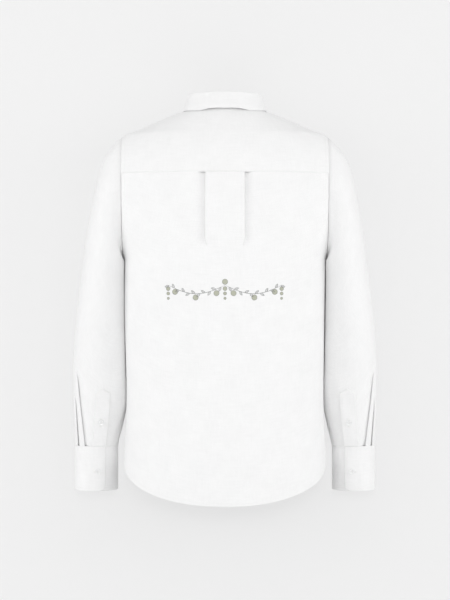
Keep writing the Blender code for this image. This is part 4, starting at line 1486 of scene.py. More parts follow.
        edge = BODY.armhole(np.linspace(first, last, upper + 1), inset=self.armhole_inset)
        rise = np.concatenate([rise, edge[:, None]], axis=1)
        points = np.concatenate([points, rise[1:]], axis=0)
        return Grid(points, 1.0, turned_in=self.hem_in(points))

    def front_relief(self, along: Array, z: Array, seed: float) -> Array:
        """How far a front's creases and waviness move its face out.

        Args:
            along: Distance from the centre line.
            z: Height.
            seed: What shifts the waviness.

        Returns:
            The distance.
        """
        room = np.minimum(self.seam_room(along, z, Facing.FRONT), along - self.band_half)
        calm = ease(room / 24.0) * ease((BODY.yoke_seam_z - z) / 30.0)
        side = self.seam_room(along, z, Facing.FRONT)
        soft = (relief(self.front_creases, along, z) + drift(along, z, 1.5, seed)) * calm
        seam = self.felled(side) + pucker(side - self.fell_width, z, 0.12)
        return soft + seam * ease((BODY.yoke_seam_z - z) / 8.0)

    def front_tops(self, neck: int, shoulder_shares: Array) -> list[tuple[float, float]]:
        """x and y where each column of a front ends, on the collar seam and then on the yoke's front seam.

        Args:
            neck: The number of the last column on the collar seam.
            shoulder_shares: Shares of the way along the yoke's seam for the others.

        Returns:
            The pairs.
        """
        first = 1.0 - math.asin((self.band_half + self.seam) / BODY.neck_x) / math.pi
        last = BODY.neck_turn(self.yoke_front_neck_y - self.seam)
        x, y = BODY.neckline(np.linspace(first, last, neck + 1))
        tops = list(zip(x, y))
        edge_x = float(BODY.curves["edge_x"](BODY.shoulder_z))
        for share in shoulder_shares:
            y = mix(self.yoke_front_neck_y, self.yoke_front_armhole_y, share) - self.seam
            tops.append((mix(tops[neck][0], edge_x, share), y))
        return tops

    def band(self, first: float, last: float, lift: float) -> Grid:
        """A front band between two distances from the centre line, from the hem to the collar seam.

        Args:
            first: Where it begins.
            last: Where it ends.
            lift: How far its middle stands out.

        Returns:
            The grid.
        """
        along = spaced(first, last, self.band_step)
        past_seam = np.linspace(1.0, 1.8, self.band_rows)[1:]
        levels = np.concatenate([self.levels(BODY.yoke_seam_z), past_seam])[:, None]
        length = float(BODY.length(self.hem_side, Facing.FRONT)[0])
        low = self.hem_z(along / length, self.hem_front)[None, :]
        neck_y = BODY.neck_front_y * np.sqrt(1 - (along / BODY.neck_x) ** 2)
        neck_z = (BODY.height(along, -neck_y) - self.band_top_drop)[None, :]
        body = mix(low, BODY.yoke_seam_z, np.minimum(levels, 1.0))
        z = np.where(levels <= 1.0, body, mix(BODY.yoke_seam_z, neck_z, (levels - 1) / 0.8))
        along = np.broadcast_to(along, z.shape)
        points = BODY.on(along, z, Facing.FRONT) + lift * BODY.normal(along, z, Facing.FRONT)
        return Grid(points, 1.0)

    def build(self, material: bpy.types.Material) -> dict[str, Sheet]:
        """Makes the torso's pieces and gives them by name.

        Args:
            material: The cloth's finish.

        Returns:
            The pieces.
        """
        sheets = (
            Sheet("back_cloth", self.back(), self.cloth, ("back",), ("yoke_cloth",)),
            Sheet("yoke_cloth", self.yoke(), self.double, ("yoke",), ("collar_stand_cloth",)),
            Sheet("front_left_cloth", self.front(True), self.cloth, ("front_left",), ("yoke_cloth",)),
            Sheet("front_right_cloth", self.front(False).mirrored(), self.cloth, ("front_right",),
                  ("yoke_cloth",)),
            Sheet("placket_cloth", self.band(-self.band_half, self.band_half, self.band_gap + self.double / 2),
                  self.double, ("placket",), ("front_left_cloth",)),
            Sheet("button_band_cloth", self.band(-self.band_half, self.button_band_edge, -self.double / 2),
                  self.double, ("button_band",), ("front_right_cloth",)),
        )
        return {sheet.name: sheet.build(material) for sheet in sheets}


@dataclass
class Collar:
    """The collar stand round the neck, and the leaf that folds over it."""

    stand_wall: float = 1.8
    leaf_wall: float = 1.6
    foot: float = 1.6
    height_back: float = 24.2
    height_front: float = 23.0
    lean: float = 5.5
    end_turn: float = 1.062
    overlap: float = 1.15
    corner_turn: float = 0.05
    corner_drop: float = 0.42
    leaf_end: float = 0.972
    leaf_columns: int = 145
    end_columns: int = 14
    leaf_off: float = 0.85
    leaf_thin: float = 0.6
    leaf_off_band: float = 3.6
    ramp_end: float = 48.0
    ramp_width: float = 24.0
    fold_over: tuple[tuple[float, float], ...] = ((0.2, 1.9), (1.4, 3.0), (3.0, 2.8), (4.2, 1.0))
    edge: tuple[tuple[float, float, float], ...] = (
        (-0.10, -21.0, 63.3), (0.00, 0.0, 65.4), (0.10, 21.0, 63.3), (0.20, 42.0, 58.4), (0.29, 58.5, 48.6),
        (0.38, 71.0, 29.8), (0.50, 76.5, 0.0), (0.66, 75.0, -34.0), (0.84, 62.0, -70.0), (1.00, 43.0, -99.0),
    )

    def stand_point(self, turns: Value, share: Value, lift: Value) -> Array:
        """Points of the stand: round the neck, up its height, and out from its middle.

        Args:
            turns: Shares of the way to the front, below zero on the wearer's right.
            share: Shares of the way up.
            lift: Distance out.

        Returns:
            The points.
        """
        given = (np.asarray(value, float) for value in (turns, share, lift))
        turns, share, lift = np.broadcast_arrays(*given)
        x, y = BODY.neckline(np.abs(turns))
        x = np.copysign(1.0, turns) * x
        foot_z = BODY.height(x, y) + self.foot
        height = mix(self.height_back, self.height_front, ease((np.abs(turns) - 0.4) / 0.5))
        middle = (BODY.neck_back_y - BODY.neck_front_y) / 2
        outward = unit(np.stack([x / BODY.neck_x**2, (y - middle) / BODY.neck_front_y**2], axis=-1))
        inward = self.lean * share - lift
        x, y = x - outward[..., 0] * inward, y - outward[..., 1] * inward
        return np.stack([x, y, foot_z + height * share], axis=-1)

    def stand_lift(self, turns: Value) -> Array:
        """The left end laps over the right end at the front."""
        return self.overlap * np.copysign(ease((np.abs(turns) - 0.82) / 0.12), turns)

    def stand(self) -> Grid:
        """The collar stand, from its right end to its left end.

        Returns:
            The grid.
        """
        end = np.linspace(self.leaf_end, self.end_turn, self.end_columns + 1)[1:]
        past = end - self.leaf_end
        end = self.leaf_end + past * (2 - past / (self.end_turn - self.leaf_end))
        turns = np.concatenate([-end[::-1], self.leaf_end * np.linspace(-1.0, 1.0, self.leaf_columns), end])
        into = np.maximum((np.abs(turns) - (self.end_turn - self.corner_turn)) / self.corner_turn, 0.0)
        rounding = 1 - self.corner_drop * (1 - np.sqrt(np.maximum(1 - into**2, 0.0)))
        shares = np.linspace(0.0, 1.0, 10)[:, None]
        return Grid(self.stand_point(turns, shares * rounding, self.stand_lift(turns)), 1.0)

    def leaf_lift(self, x: Value) -> Array:
        """How far the leaf stays off the body, more where it passes over the bands."""
        return mix(self.leaf_off, self.leaf_off_band, ease((self.ramp_end - np.abs(x)) / self.ramp_width))

    def leaf(self) -> Grid:
        """The leaf, from its fold over the stand down to its edge.

        Returns:
            The grid.
        """
        shares = np.linspace(-1.0, 1.0, self.leaf_columns)
        turns = self.leaf_end * shares
        top = self.stand_point(turns, 1.0, 0.0)
        outward = self.stand_point(turns, 1.0, 1.0) - top
        marks = np.array(self.fold_over)
        places = np.arange(len(marks))
        fine = np.linspace(0, len(marks) - 1, 10)
        out, up = Curve(places, marks[:, 0])(fine), Curve(places, marks[:, 1])(fine)
        rows = [top + outward * o + np.array([0.0, 0.0, u]) for o, u in zip(out, up)]
        table = np.array(self.edge)
        size = np.abs(shares)
        edge_x = np.copysign(1.0, shares) * Curve(table[:, 0], table[:, 1])(size)
        edge_y = Curve(table[:, 0], table[:, 2])(size)
        edge_lift = self.leaf_lift(edge_x)[:, None]
        edge = BODY.upper(edge_x, edge_y) + edge_lift * BODY.upper_normal(edge_x, edge_y)
        start = rows[-1]
        for fall in np.linspace(0.0, 1.0, 22)[1:]:
            points = mix(start, edge, fall)
            height = BODY.height(points[:, 0], points[:, 1])
            normal = BODY.upper_normal(points[:, 0], points[:, 1])
            short = np.maximum(self.leaf_lift(points[:, 0]) - (points[:, 2] - height) * normal[:, 2], 0.0)
            rows.append(points + short[:, None] * normal)
        points = np.array(rows)
        grid = Grid(points, -1.0)
        fall = np.linspace(0.0, 1.0, len(rows))[:, None]
        roll = 0.9 * np.sin(math.pi * fall) ** 2
        thin = np.broadcast_to(-self.leaf_thin * ease((fall - 0.8) / 0.2), points.shape[:2])
        return Grid(points + grid.normals() * roll[..., None], -1.0, turned_in=thin)

    def build(self, material: bpy.types.Material) -> dict[str, Sheet]:
        """Makes the stand and the leaf.

        Args:
            material: The cloth's finish.

        Returns:
            The pieces by name.
        """
        sheets = (
            Sheet("collar_stand_cloth", self.stand(), self.stand_wall, ("collar_stand",), ("yoke_cloth",),
                  "stiffened_cloth", "stretched"),
            Sheet("collar_leaf_cloth", self.leaf(), self.leaf_wall, ("collar_leaf",), ("collar_stand_cloth",),
                  "stiffened_cloth", "folded"),
        )
        return {sheet.name: sheet.build(material) for sheet in sheets}


@dataclass(frozen=True)
class SleevePleat:
    """Where a fold starts at the cuff and ends above it, in turns, and how far it laps under there."""

    cuff_turn: float
    top_turn: float
    top_z: float
    lap: float


@dataclass
class Arm:
    """One sleeve with its pleats, its gauntlet and its cuff."""

    side: Side
    creases: tuple[Crease, ...]
    seed: float
    cloth: float = 1.2
    double: float = 1.6
    step: float = 3.9
    rest: int = 92
    spread_turn: float = 0.36
    spread_from: float = -446.0
    spread_to: float = -290.0
    shift: float = 0.7
    inset: float = 0.9
    opening: float = 0.3
    flat_half: float = 3.0
    beside: float = 4.5
    flat_beside: float = 3.3
    pleats: tuple[SleevePleat, ...] = (
        SleevePleat(0.0875, 0.0700, -506.0, 7.5), SleevePleat(0.1640, 0.0950, -452.0, 8.0),
    )
    cuff_top: float = -612.0
    cuff_rise: float = 0.3
    cuff_bottom: float = -693.0
    cuff_over: float = 0.325
    cuff_under: float = -0.792
    cuff_spiral: float = 1.15
    cuff_corner: float = 12.0
    cuff_columns: int = 96
    corner_columns: int = 11
    gauntlet_columns: int = 13
    gauntlet_rows: int = 34
    gauntlet_turn: float = 0.327
    gauntlet_width: float = 27.0
    gauntlet_top: float = -512.0
    gauntlet_point: float = 9.0
    gauntlet_gap: float = 1.0
    gauntlet_close: float = 0.1
    snug: tuple[tuple[float, float], ...] = (
        (-600.0, 0.0), (-572.0, 2.6), (-528.0, 5.2), (-482.0, 4.4), (-436.0, 3.5), (-354.0, 2.9),
        (-300.0, 2.8), (-284.0, 2.5), (-277.0, 1.7), (-270.0, 0.2),
    )
    snug_turn: float = 0.1
    body_room: float = 1.3
    body_soft: float = 0.3
    lean: float = 7.2
    lean_turn: float = 0.43
    lean_width: float = 0.06

    def pleated_ring(self, level: float) -> list[tuple[float, float]]:
        """(turn, lift) round the sleeve, through the folds of its pleats.

        Args:
            level: A level of the sleeve.

        Returns:
            The pairs.
        """
        z = float(SLEEVE.curves["outer_z"](level))
        girth = float(SLEEVE.girth(level)[0])
        path = [(0.0, 0.0)]
        for pleat in self.pleats:
            share = (pleat.top_z - z) / (pleat.top_z - self.cuff_top)
            lap, opening = SLEEVE_FOLD.state(share, pleat.lap, self.opening)
            edge = girth * mix(pleat.top_turn, pleat.cuff_turn, min(max(share, 0.0), 1.0))
            drop = -4 * SLEEVE_FOLD.radius * (1 - opening)
            beside = mix(self.beside, self.flat_beside, opening)
            last = path[-1][0]
            path += [(mix(last, edge - beside, k / 5), 0.0) for k in range(1, 5)]
            path += SLEEVE_FOLD.path(edge, lap, opening, self.flat_half)
            far = edge + mix(2 * beside, beside + 0.4, opening)
            path += [
                (mix(edge + beside, far, k / 3), drop * (1 - float(ease(k / 3)) * 0.75)) for k in range(4)
            ]
        start, tail = path[-1]
        for k in range(1, self.rest + 1):
            path.append((mix(start, girth, k / (self.rest + 1)), tail * (1 - float(ease(k / 4)))))
        spread = float(ease((z - self.spread_from) / (self.spread_to - self.spread_from)))
        pleated = len(path) - self.rest
        ring = []
        for k, (along, lift) in enumerate(path):
            if k < pleated:
                wide = self.spread_turn * k / pleated
            else:
                wide = mix(self.spread_turn, 1.0, (k - pleated) / self.rest)
            ring.append((mix(along / girth, wide, spread), lift * (1 - spread)))
        return ring

    def levels(self) -> Array:
        """The levels of the sleeve's rows, evenly spaced down its outer line and closer at its two seams.

        Returns:
            The levels.
        """
        fine = np.linspace(1.0, SLEEVE.last, 600)
        outer = np.stack([SLEEVE.curves["outer_x"](fine), SLEEVE.curves["outer_z"](fine)], axis=1)
        along = sums(strides(outer))
        inside = spaced(6.0, along[-1] - 6.0, self.step)
        wanted = np.concatenate([[0.0, 1.2, 3.2], inside, along[-1] - np.array([3.4, 1.4, 0.0])])
        return np.interp(wanted, along, fine)

    def sleeve(self) -> Grid:
        """The sleeve, from the armhole's seam to the cuff.

        Returns:
            The grid.
        """
        levels = self.levels()
        rings = np.array([self.pleated_ring(level) for level in levels])
        turn, lift = rings[..., 0], rings[..., 1]
        level = np.broadcast_to(levels[:, None], turn.shape)
        z = SLEEVE.curves["outer_z"](level)
        moved = lift - self.cloth / 2 + self.relief(turn, level) + self.gathers(turn, z)
        points = SLEEVE.on(turn, level) + moved[..., None] * SLEEVE.normal(turn, level)
        points = self.beside_body(points)
        seam = BODY.armhole(turn[0], shift=self.shift, inset=self.inset)
        points = np.concatenate([seam[None], points], axis=0)
        return Grid(points, -1.0, ring=True)

    def beside_body(self, points: Array) -> Array:
        """The sleeve's points, kept outside the body's side below the armhole.

        Args:
            points: The sleeve's points.

        Returns:
            The points, moved where they need it.
        """
        reach, depth, square, _ = BODY.outline(points[..., 2], Facing.BACK)
        within = np.clip(1 - (np.abs(points[..., 1]) / depth) ** square, 0.0, 1.0)
        side = reach * within ** (1 / square) + self.body_room
        kept = self.body_soft * np.logaddexp(side / self.body_soft, points[..., 0] / self.body_soft)
        out = points.copy()
        out[..., 0] = np.where(points[..., 2] < BODY.underarm_z, kept, points[..., 0])
        return out

    def relief(self, turn: Array, level: Array) -> Array:
        """How far the creases, the waviness and the body's touch move the sleeve's face out.

        Args:
            turn: Shares of the way round.
            level: Levels of the sleeve.

        Returns:
            The distance.
        """
        z = SLEEVE.curves["outer_z"](level)
        calm = ease((z - self.cuff_top) / 20.0) * ease((level - 1.0) / 1.6)
        soft = (relief(self.creases, turn * 300.0, z) + drift(turn * 300.0, z, 1.3, self.seed)) * calm
        inner = np.exp(-(((turn - 0.5) / self.snug_turn) ** 2))
        beside = SLEEVE.on(np.full(z.shape, 0.5), level)[..., 2]
        table = np.array(self.snug)
        behind = np.exp(-(((turn - self.lean_turn) / self.lean_width) ** 2))
        leant = self.lean * behind * ease((-269.0 - beside) / 14.0) * ease((beside + 600.0) / 110.0)
        return soft * (1 - inner) + Curve(table[:, 0], table[:, 1])(beside) * inner + leant

    def gathers(self, turn: Array, z: Array) -> Array:
        """Small tucks where the sleeve is eased into the cuff, away from its pleats and gauntlet.

        Args:
            turn: Shares of the way round.
            z: Heights at the outer line.

        Returns:
            The distance.
        """
        up = np.maximum(z - self.cuff_top, 0.0)
        near = np.exp(-((up / 34.0) ** 2)) * ease(up / 9.0)
        away = ease((turn - 0.36) / 0.06) * ease((1.0 - turn) / 0.08)
        waves = np.sin(turn * 2 * math.pi * 9 + self.seed)
        ripples = np.sin(turn * 2 * math.pi * 14 + 2.1 * self.seed)
        return 0.55 * (waves + 0.5 * ripples) * near * away

    def cuff_point(self, turn: Array, z: Array, lift: Array) -> Array:
        """Points of the cuff, which goes straight down from the sleeve's last ring.

        Args:
            turn: Shares of the way round.
            z: Heights.
            lift: Distance out.

        Returns:
            The points.
        """
        turn, z, lift = np.broadcast_arrays(np.asarray(turn, float), z, lift)
        point = SLEEVE.on(turn, SLEEVE.last)
        around = SLEEVE.on(turn + TURN_STEP, SLEEVE.last) - SLEEVE.on(turn - TURN_STEP, SLEEVE.last)
        outward = unit(np.stack([around[..., 1], -around[..., 0], np.zeros_like(turn)], axis=-1))
        point = point + lift[..., None] * outward
        point[..., 2] = z
        return point

    def cuff_lift(self, turn: Value) -> Array:
        """The cuff winds outwards, so that one end laps over the other."""
        share = (np.asarray(turn, float) - self.cuff_under) / (self.cuff_over - self.cuff_under)
        return mix(-self.cuff_spiral, self.cuff_spiral, share) - self.double / 2

    def cuff(self) -> Grid:
        """The cuff, from its underlap round to its overlap.

        Returns:
            The grid.
        """
        girth = float(SLEEVE.girth(SLEEVE.last)[0])
        corner = self.cuff_corner / girth
        turns = np.concatenate([
            np.linspace(self.cuff_under, self.cuff_over - corner, self.cuff_columns),
            self.cuff_over - corner * np.cos(np.radians(np.linspace(12.0, 90.0, self.corner_columns))),
        ])
        into = np.maximum(1 - (self.cuff_over - turns) * girth / self.cuff_corner, 0.0)
        bottom = self.cuff_bottom + self.cuff_corner * (1 - np.sqrt(np.maximum(1 - into**2, 0.0)))
        between = np.linspace(0.06, 0.94, 22)
        shares = np.concatenate([[0.0, 0.012, 0.035], between, [0.968, 0.99, 1.0]])[:, None]
        z = mix(self.cuff_top + self.cuff_rise, bottom[None, :], shares)
        soft = 0.5 * np.sin(math.pi * shares) * np.sin(turns * 2 * math.pi * 2 + self.seed)
        return Grid(self.cuff_point(turns, z, self.cuff_lift(turns) + soft * 0.6), -1.0)

    def gauntlet(self) -> Grid:
        """The gauntlet: a strip over the sleeve's back, with a pointed top.

        Returns:
            The grid.
        """
        across = np.linspace(0.0, 1.0, self.gauntlet_columns)
        shares = np.linspace(0.0, 1.0, self.gauntlet_rows)[:, None]
        top = self.gauntlet_top + self.gauntlet_point * (1 - np.abs(2 * across - 1))
        z = mix(self.cuff_top + 0.6, top[None, :], shares)
        level = SLEEVE.level_at(z)
        girth = SLEEVE.girth(level.ravel()).reshape(level.shape)
        turn = self.gauntlet_turn - across * self.gauntlet_width / girth
        gap = mix(self.gauntlet_gap, self.gauntlet_close, ease(across * 2))
        gap = gap + 0.3 * ease((0.16 - across) / 0.16)
        lift = gap + self.double / 2 + self.relief(turn, level)
        return Grid(SLEEVE.on(turn, level) + lift[..., None] * SLEEVE.normal(turn, level), -1.0)

    def grid(self, left: Grid) -> Grid:
        """A grid of the left side, as it is on this side."""
        return left if self.side is Side.LEFT else left.mirrored()

    def build(self, material: bpy.types.Material) -> dict[str, Sheet]:
        """Makes the sleeve, its gauntlet and its cuff.

        Args:
            material: The cloth's finish.

        Returns:
            The pieces by name.
        """
        word = self.side.word
        sleeve, cuff = f"sleeve_{word}", f"cuff_{word}"
        sheets = (
            Sheet(f"{sleeve}_cloth", self.grid(self.sleeve()), self.cloth, (sleeve,),
                  ("back_cloth", "yoke_cloth")),
            Sheet(f"{cuff}_cloth", self.grid(self.cuff()), self.double, (cuff,), (f"{sleeve}_cloth",),
                  "stiffened_cloth", "stretched"),
            Sheet(f"gauntlet_{word}_cloth", self.grid(self.gauntlet()), self.double, (f"gauntlet_{word}",),
                  (f"{sleeve}_cloth",)),
        )
        return {sheet.name: sheet.build(material) for sheet in sheets}


LEFT_SLEEVE_CREASES = (
    Crease(20, -470, 75, -400, 12, 1.5, 5),
    Crease(95, -560, 118, -440, 9, 1.5, -4),
    Crease(120, -590, 138, -500, 7, 1.4, 3),
    Crease(150, -420, 96, -330, 15, 1.6, 9),
    Crease(140, -500, 168, -380, 12, 1.5, -5),
    Crease(190, -350, 240, -440, 14, 2, -8),
    Crease(205, -300, 262, -360, 14, 1.7, 6),
    Crease(200, -470, 250, -560, 12, 1.7, 7),
    Crease(60, -220, 40, -330, 16, 1, 5),
    Crease(262, -160, 272, -290, 15, 1.1, -5),
)
RIGHT_SLEEVE_CREASES = (
    Crease(18, -455, 70, -385, 12, 1.4, -5),
    Crease(92, -565, 112, -450, 9, 1.5, 4),
    Crease(118, -594, 140, -515, 7, 1.3, -3),
    Crease(154, -438, 100, -350, 15, 1.5, 8),
    Crease(144, -510, 165, -400, 12, 1.5, 5),
    Crease(186, -370, 238, -455, 14, 1.9, 8),
    Crease(208, -312, 258, -380, 14, 1.6, -6),
    Crease(204, -490, 246, -572, 12, 1.8, -7),
    Crease(56, -200, 44, -310, 16, 1, -5),
    Crease(258, -180, 270, -300, 15, 1.1, 5),
)


@dataclass(frozen=True)
class StitchRow:
    """A row of stitches inside one edge of a cut piece, over a stretch of that edge."""

    sheet: str
    edge: Edge
    inset: float
    room: float | None = None
    start: float = 0.0
    end: float = 1.0


def rows_round(sheet: str, inset: float, edges: tuple[Edge, ...]) -> tuple[StitchRow, ...]:
    """Rows at one distance inside several edges of a piece."""
    return tuple(StitchRow(sheet, edge, inset) for edge in edges)


@dataclass
class Stitcher:
    """Sews: one stitch is modelled, and its copies are laid along lines on the cloth."""

    thread: bpy.types.Material
    long: float = 2.3
    wide: float = 0.6
    flat: float = 0.75
    pitch: float = 3.0
    satin_long: float = 1.7
    satin_wide: float = 0.62
    satin_pitch: float = 0.55
    laid: list[Array] = field(default_factory=list)

    def __post_init__(self) -> None:
        """Models the stitch and keeps its shape."""
        bpy.ops.object.select_all(action="DESELECT")
        bpy.ops.mesh.primitive_uv_sphere_add(segments=6, ring_count=4, radius=0.5)
        model = bpy.context.object
        bpy.ops.object.mode_set(mode="EDIT")
        bpy.ops.mesh.select_all(action="SELECT")
        bpy.ops.transform.rotate(value=math.pi / 2, orient_axis="Y", center_override=(0.0, 0.0, 0.0))
        bpy.ops.object.mode_set(mode="OBJECT")
        self.shape = np.array([vertex.co[:] for vertex in model.data.vertices])
        self.faces = [list(face.vertices) for face in model.data.polygons]
        bpy.data.objects.remove(model)

    def lay(self, places: Array, along: Array, normals: Array, long: float, wide: float) -> None:
        """Lays copies of the stitch at places, each along its own direction.

        Args:
            places: The middles.
            along: The directions.
            normals: The cloth's normals there.
            long: The stitch's length.
            wide: Its width.
        """
        ahead = unit(along - normals * (along * normals).sum(axis=1, keepdims=True))
        side = np.cross(normals, ahead)
        parts = zip((ahead, side, normals), (long, wide, wide * self.flat), self.shape.T)
        copies = sum(axis[:, None] * size * shape[None, :, None] for axis, size, shape in parts)
        self.laid.append((places[:, None] + copies).reshape(-1, 3))

    def run(self, points: Array, normals: Array, satin: bool = False) -> None:
        """Lays a row along a line, or close satin stitches across it.

        Args:
            points: The line's points.
            normals: The cloth's normals there.
            satin: Whether the stitches lie across it.
        """
        reach = sums(strides(points))
        count = max(int(reach[-1] / (self.satin_pitch if satin else self.pitch)), 1)
        middles = (np.arange(count) + 0.5) * reach[-1] / count

        def read(table: Array, wanted: Array) -> Array:
            """The table's rows at distances along the line."""
            return np.stack([np.interp(wanted, reach, table[:, axis]) for axis in range(3)], axis=1)

        ahead = unit(read(points, middles + 0.4) - read(points, middles - 0.4))
        facing = unit(read(normals, middles))
        if satin:
            self.lay(read(points, middles), np.cross(facing, ahead), facing, self.satin_long, self.satin_wide)
        else:
            self.lay(read(points, middles), ahead, facing, self.long, self.wide)

    def sew(self, sheets: dict[str, "Sheet"], rows: tuple[StitchRow, ...]) -> None:
        """Lays rows inside the edges of pieces.

        Args:
            sheets: The cut pieces by name.
            rows: The rows.
        """
        for row in rows:
            sheet = sheets[row.sheet]
            places = sheet.grid.line(row.edge, row.inset, row.room)
            first, last = (int(share * len(places[0])) for share in (row.start, row.end))
            self.run(*sheet.grid.at(places[0][first:last], places[1][first:last], sheet.wall / 2))

    def build(self, name: str) -> bpy.types.Object:
        """Makes one piece of all that has been laid, and starts afresh.

        Args:
            name: The piece's name.

        Returns:
            The object.
        """
        points = np.concatenate(self.laid) * MM
        size = len(self.shape)
        faces = [[i + size * k for i in face] for k in range(len(points) // size) for face in self.faces]
        self.laid.clear()
        mesh = bpy.data.meshes.new(name)
        mesh.from_pydata(points.tolist(), [], faces)
        mesh.shade_smooth()
        mesh.materials.append(self.thread)
        return show(mesh)


@dataclass(frozen=True)
class ButtonPlace:
    """Where a button is sewn, and the cloth whose buttonhole it passes through."""

    node: str
    diameter: float
    base: Array
    outward: Array
    cloth: str
    upright: bool = False


@dataclass
class Fastenings:
    """Four-hole buttons with crossed threads, and the buttonholes under them."""

    torso: Torso
    collar: Collar
    arms: tuple[Arm, ...]
    finish: bpy.types.Material
    lift: float = 0.3
    front_first_z: float = -114.0
    front_spacing: float = 88.0
    front_count: int = 6
    front_diameter: float = 11.0
    small_diameter: float = 10.0
    thick: float = 2.4
    dish: float = 0.6
    rim: float = 1.5
    well: float = 0.9
    eye: float = 0.6
    eye_off: float = 1.15
    soften: float = 0.32
    hole_half: float = 8.2
    hole_wide: float = 1.1
    cuff_turn: float = 0.272
    cuff_z: float = -658.0
    gauntlet_z: float = -567.0
    gauntlet_lift: float = 1.2
    thread_long: float = 4.2
    thread_wide: float = 0.5
    thread_apart: float = 0.32
    shank_long: float = 2.6
    shank_wide: float = 0.9

    def places(self) -> list[ButtonPlace]:
        """Every button's place, from the top of the front to the sleeves.

        Returns:
            The places.
        """
        found = []
        over = self.torso.band_gap + self.torso.double + self.lift
        for k in range(self.front_count):
            z = self.front_first_z - self.front_spacing * k
            outward = BODY.normal(0.0, z, Facing.FRONT)[0]
            base = BODY.on(0.0, z, Facing.FRONT) + over * outward
            found.append(ButtonPlace(f"button_front_{k + 1}", self.front_diameter, base, outward,
                                     "placket_cloth", True))
        rise = self.collar.stand_point(1.0, 0.7, 0.0) - self.collar.stand_point(1.0, 0.3, 0.0)
        outward = unit(np.cross([1.0, 0.0, 0.0], rise))
        middle = self.collar.stand_point(1.0, 0.5, self.collar.overlap)
        base = middle + outward * (self.collar.stand_wall / 2 + self.lift)
        found.append(ButtonPlace("button_collar", self.small_diameter, base, outward, "collar_stand_cloth"))
        for arm in self.arms:
            word, flip = arm.side.word, arm.side.flip
            lift = float(arm.cuff_lift(self.cuff_turn)) + arm.double / 2
            face = arm.cuff_point(np.array([self.cuff_turn]), self.cuff_z, lift)[0]
            away = unit(arm.cuff_point(np.array([self.cuff_turn]), self.cuff_z, lift + 1.0)[0] - face)
            found.append(
                ButtonPlace(f"button_cuff_{word}", self.small_diameter, (face + away * self.lift) * flip,
                            away * flip, f"cuff_{word}_cloth")
            )
            level = SLEEVE.level_at(self.gauntlet_z)
            turn = arm.gauntlet_turn - arm.gauntlet_width / 2 / float(SLEEVE.girth(level)[0])
            away = SLEEVE.normal(turn, level)
            face = SLEEVE.on(turn, level) + (arm.double + self.gauntlet_lift) * away
            found.append(ButtonPlace(f"button_gauntlet_{word}", self.small_diameter, face * flip, away * flip,
                                     f"gauntlet_{word}_cloth", True))
        return found

    def model(self) -> bpy.types.Object:
        """One button, standing on the origin and facing up.

        Returns:
            The object.
        """
        radius, thick = self.front_diameter / 2 * MM, self.thick * MM
        bpy.ops.object.select_all(action="DESELECT")
        centre = (0.0, 0.0, thick / 2)
        bpy.ops.mesh.primitive_cylinder_add(vertices=40, radius=radius, depth=thick, location=centre)
        made = bpy.context.object
        bpy.ops.object.transform_apply(location=True, rotation=False, scale=False)
        bpy.ops.object.mode_set(mode="EDIT")
        bpy.ops.mesh.select_mode(type="FACE")
        bpy.ops.mesh.select_all(action="DESELECT")
        bpy.ops.object.mode_set(mode="OBJECT")
        for face in made.data.polygons:
            face.select = face.normal.z > 0.9
        bpy.ops.object.mode_set(mode="EDIT")
        bpy.ops.mesh.inset(thickness=self.rim * MM)
        bpy.ops.mesh.inset(thickness=self.well * MM)
        bpy.ops.transform.translate(value=(0.0, 0.0, -self.dish * MM))
        bpy.ops.object.mode_set(mode="OBJECT")
        for across in (-1, 1):
            for up in (-1, 1):
                place = (across * self.eye_off * MM, up * self.eye_off * MM, thick / 2)
                bpy.ops.mesh.primitive_cylinder_add(
                    vertices=12, radius=self.eye * MM, depth=thick * 2, location=place
                )
                cutter = bpy.context.object
                cut = made.modifiers.new("eye", "BOOLEAN")
                cut.object, cut.operation = cutter, "DIFFERENCE"
                bpy.ops.object.select_all(action="DESELECT")
                bpy.context.view_layer.objects.active = made
                made.select_set(True)
                bpy.ops.object.modifier_apply(modifier=cut.name)
                bpy.data.objects.remove(cutter)
        edge = made.modifiers.new("soft edge", "BEVEL")
        edge.width, edge.segments = self.soften * MM, 3
        edge.limit_method, edge.angle_limit = "ANGLE", math.radians(35)
        bpy.ops.object.modifier_apply(modifier=edge.name)
        made.data.shade_smooth()
        made.data.set_sharp_from_angle(angle=math.radians(40))
        return made

    def build(self, sheets: dict[str, Sheet], stitcher: Stitcher) -> None:
        """Sews on every button, with its threads and its buttonhole.

        Args:
            sheets: The cut pieces by name.
            stitcher: What lays the threads.
        """
        model = self.model()
        for place in self.places():
            outward, base = Vector(place.outward), Vector(place.base) * MM
            across = Vector((0.0, 0.0, 1.0)).cross(outward).normalized()
            turned = Matrix((across, outward.cross(across), outward)).transposed().to_4x4()
            mesh = model.data.copy()
            scale = place.diameter / self.front_diameter
            mesh.transform(Matrix.Translation(base) @ turned @ Matrix.Diagonal((scale, scale, 1.0, 1.0)))
            mesh.materials.append(self.finish)
            mesh.name = f"{place.node}_pearl"
            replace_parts(show(mesh), place.node)
            self.threads(place, np.array(across), stitcher)
            self.buttonhole(place, sheets[place.cloth], stitcher)
        bpy.data.objects.remove(model)
        stitcher.build("fastening_threads")

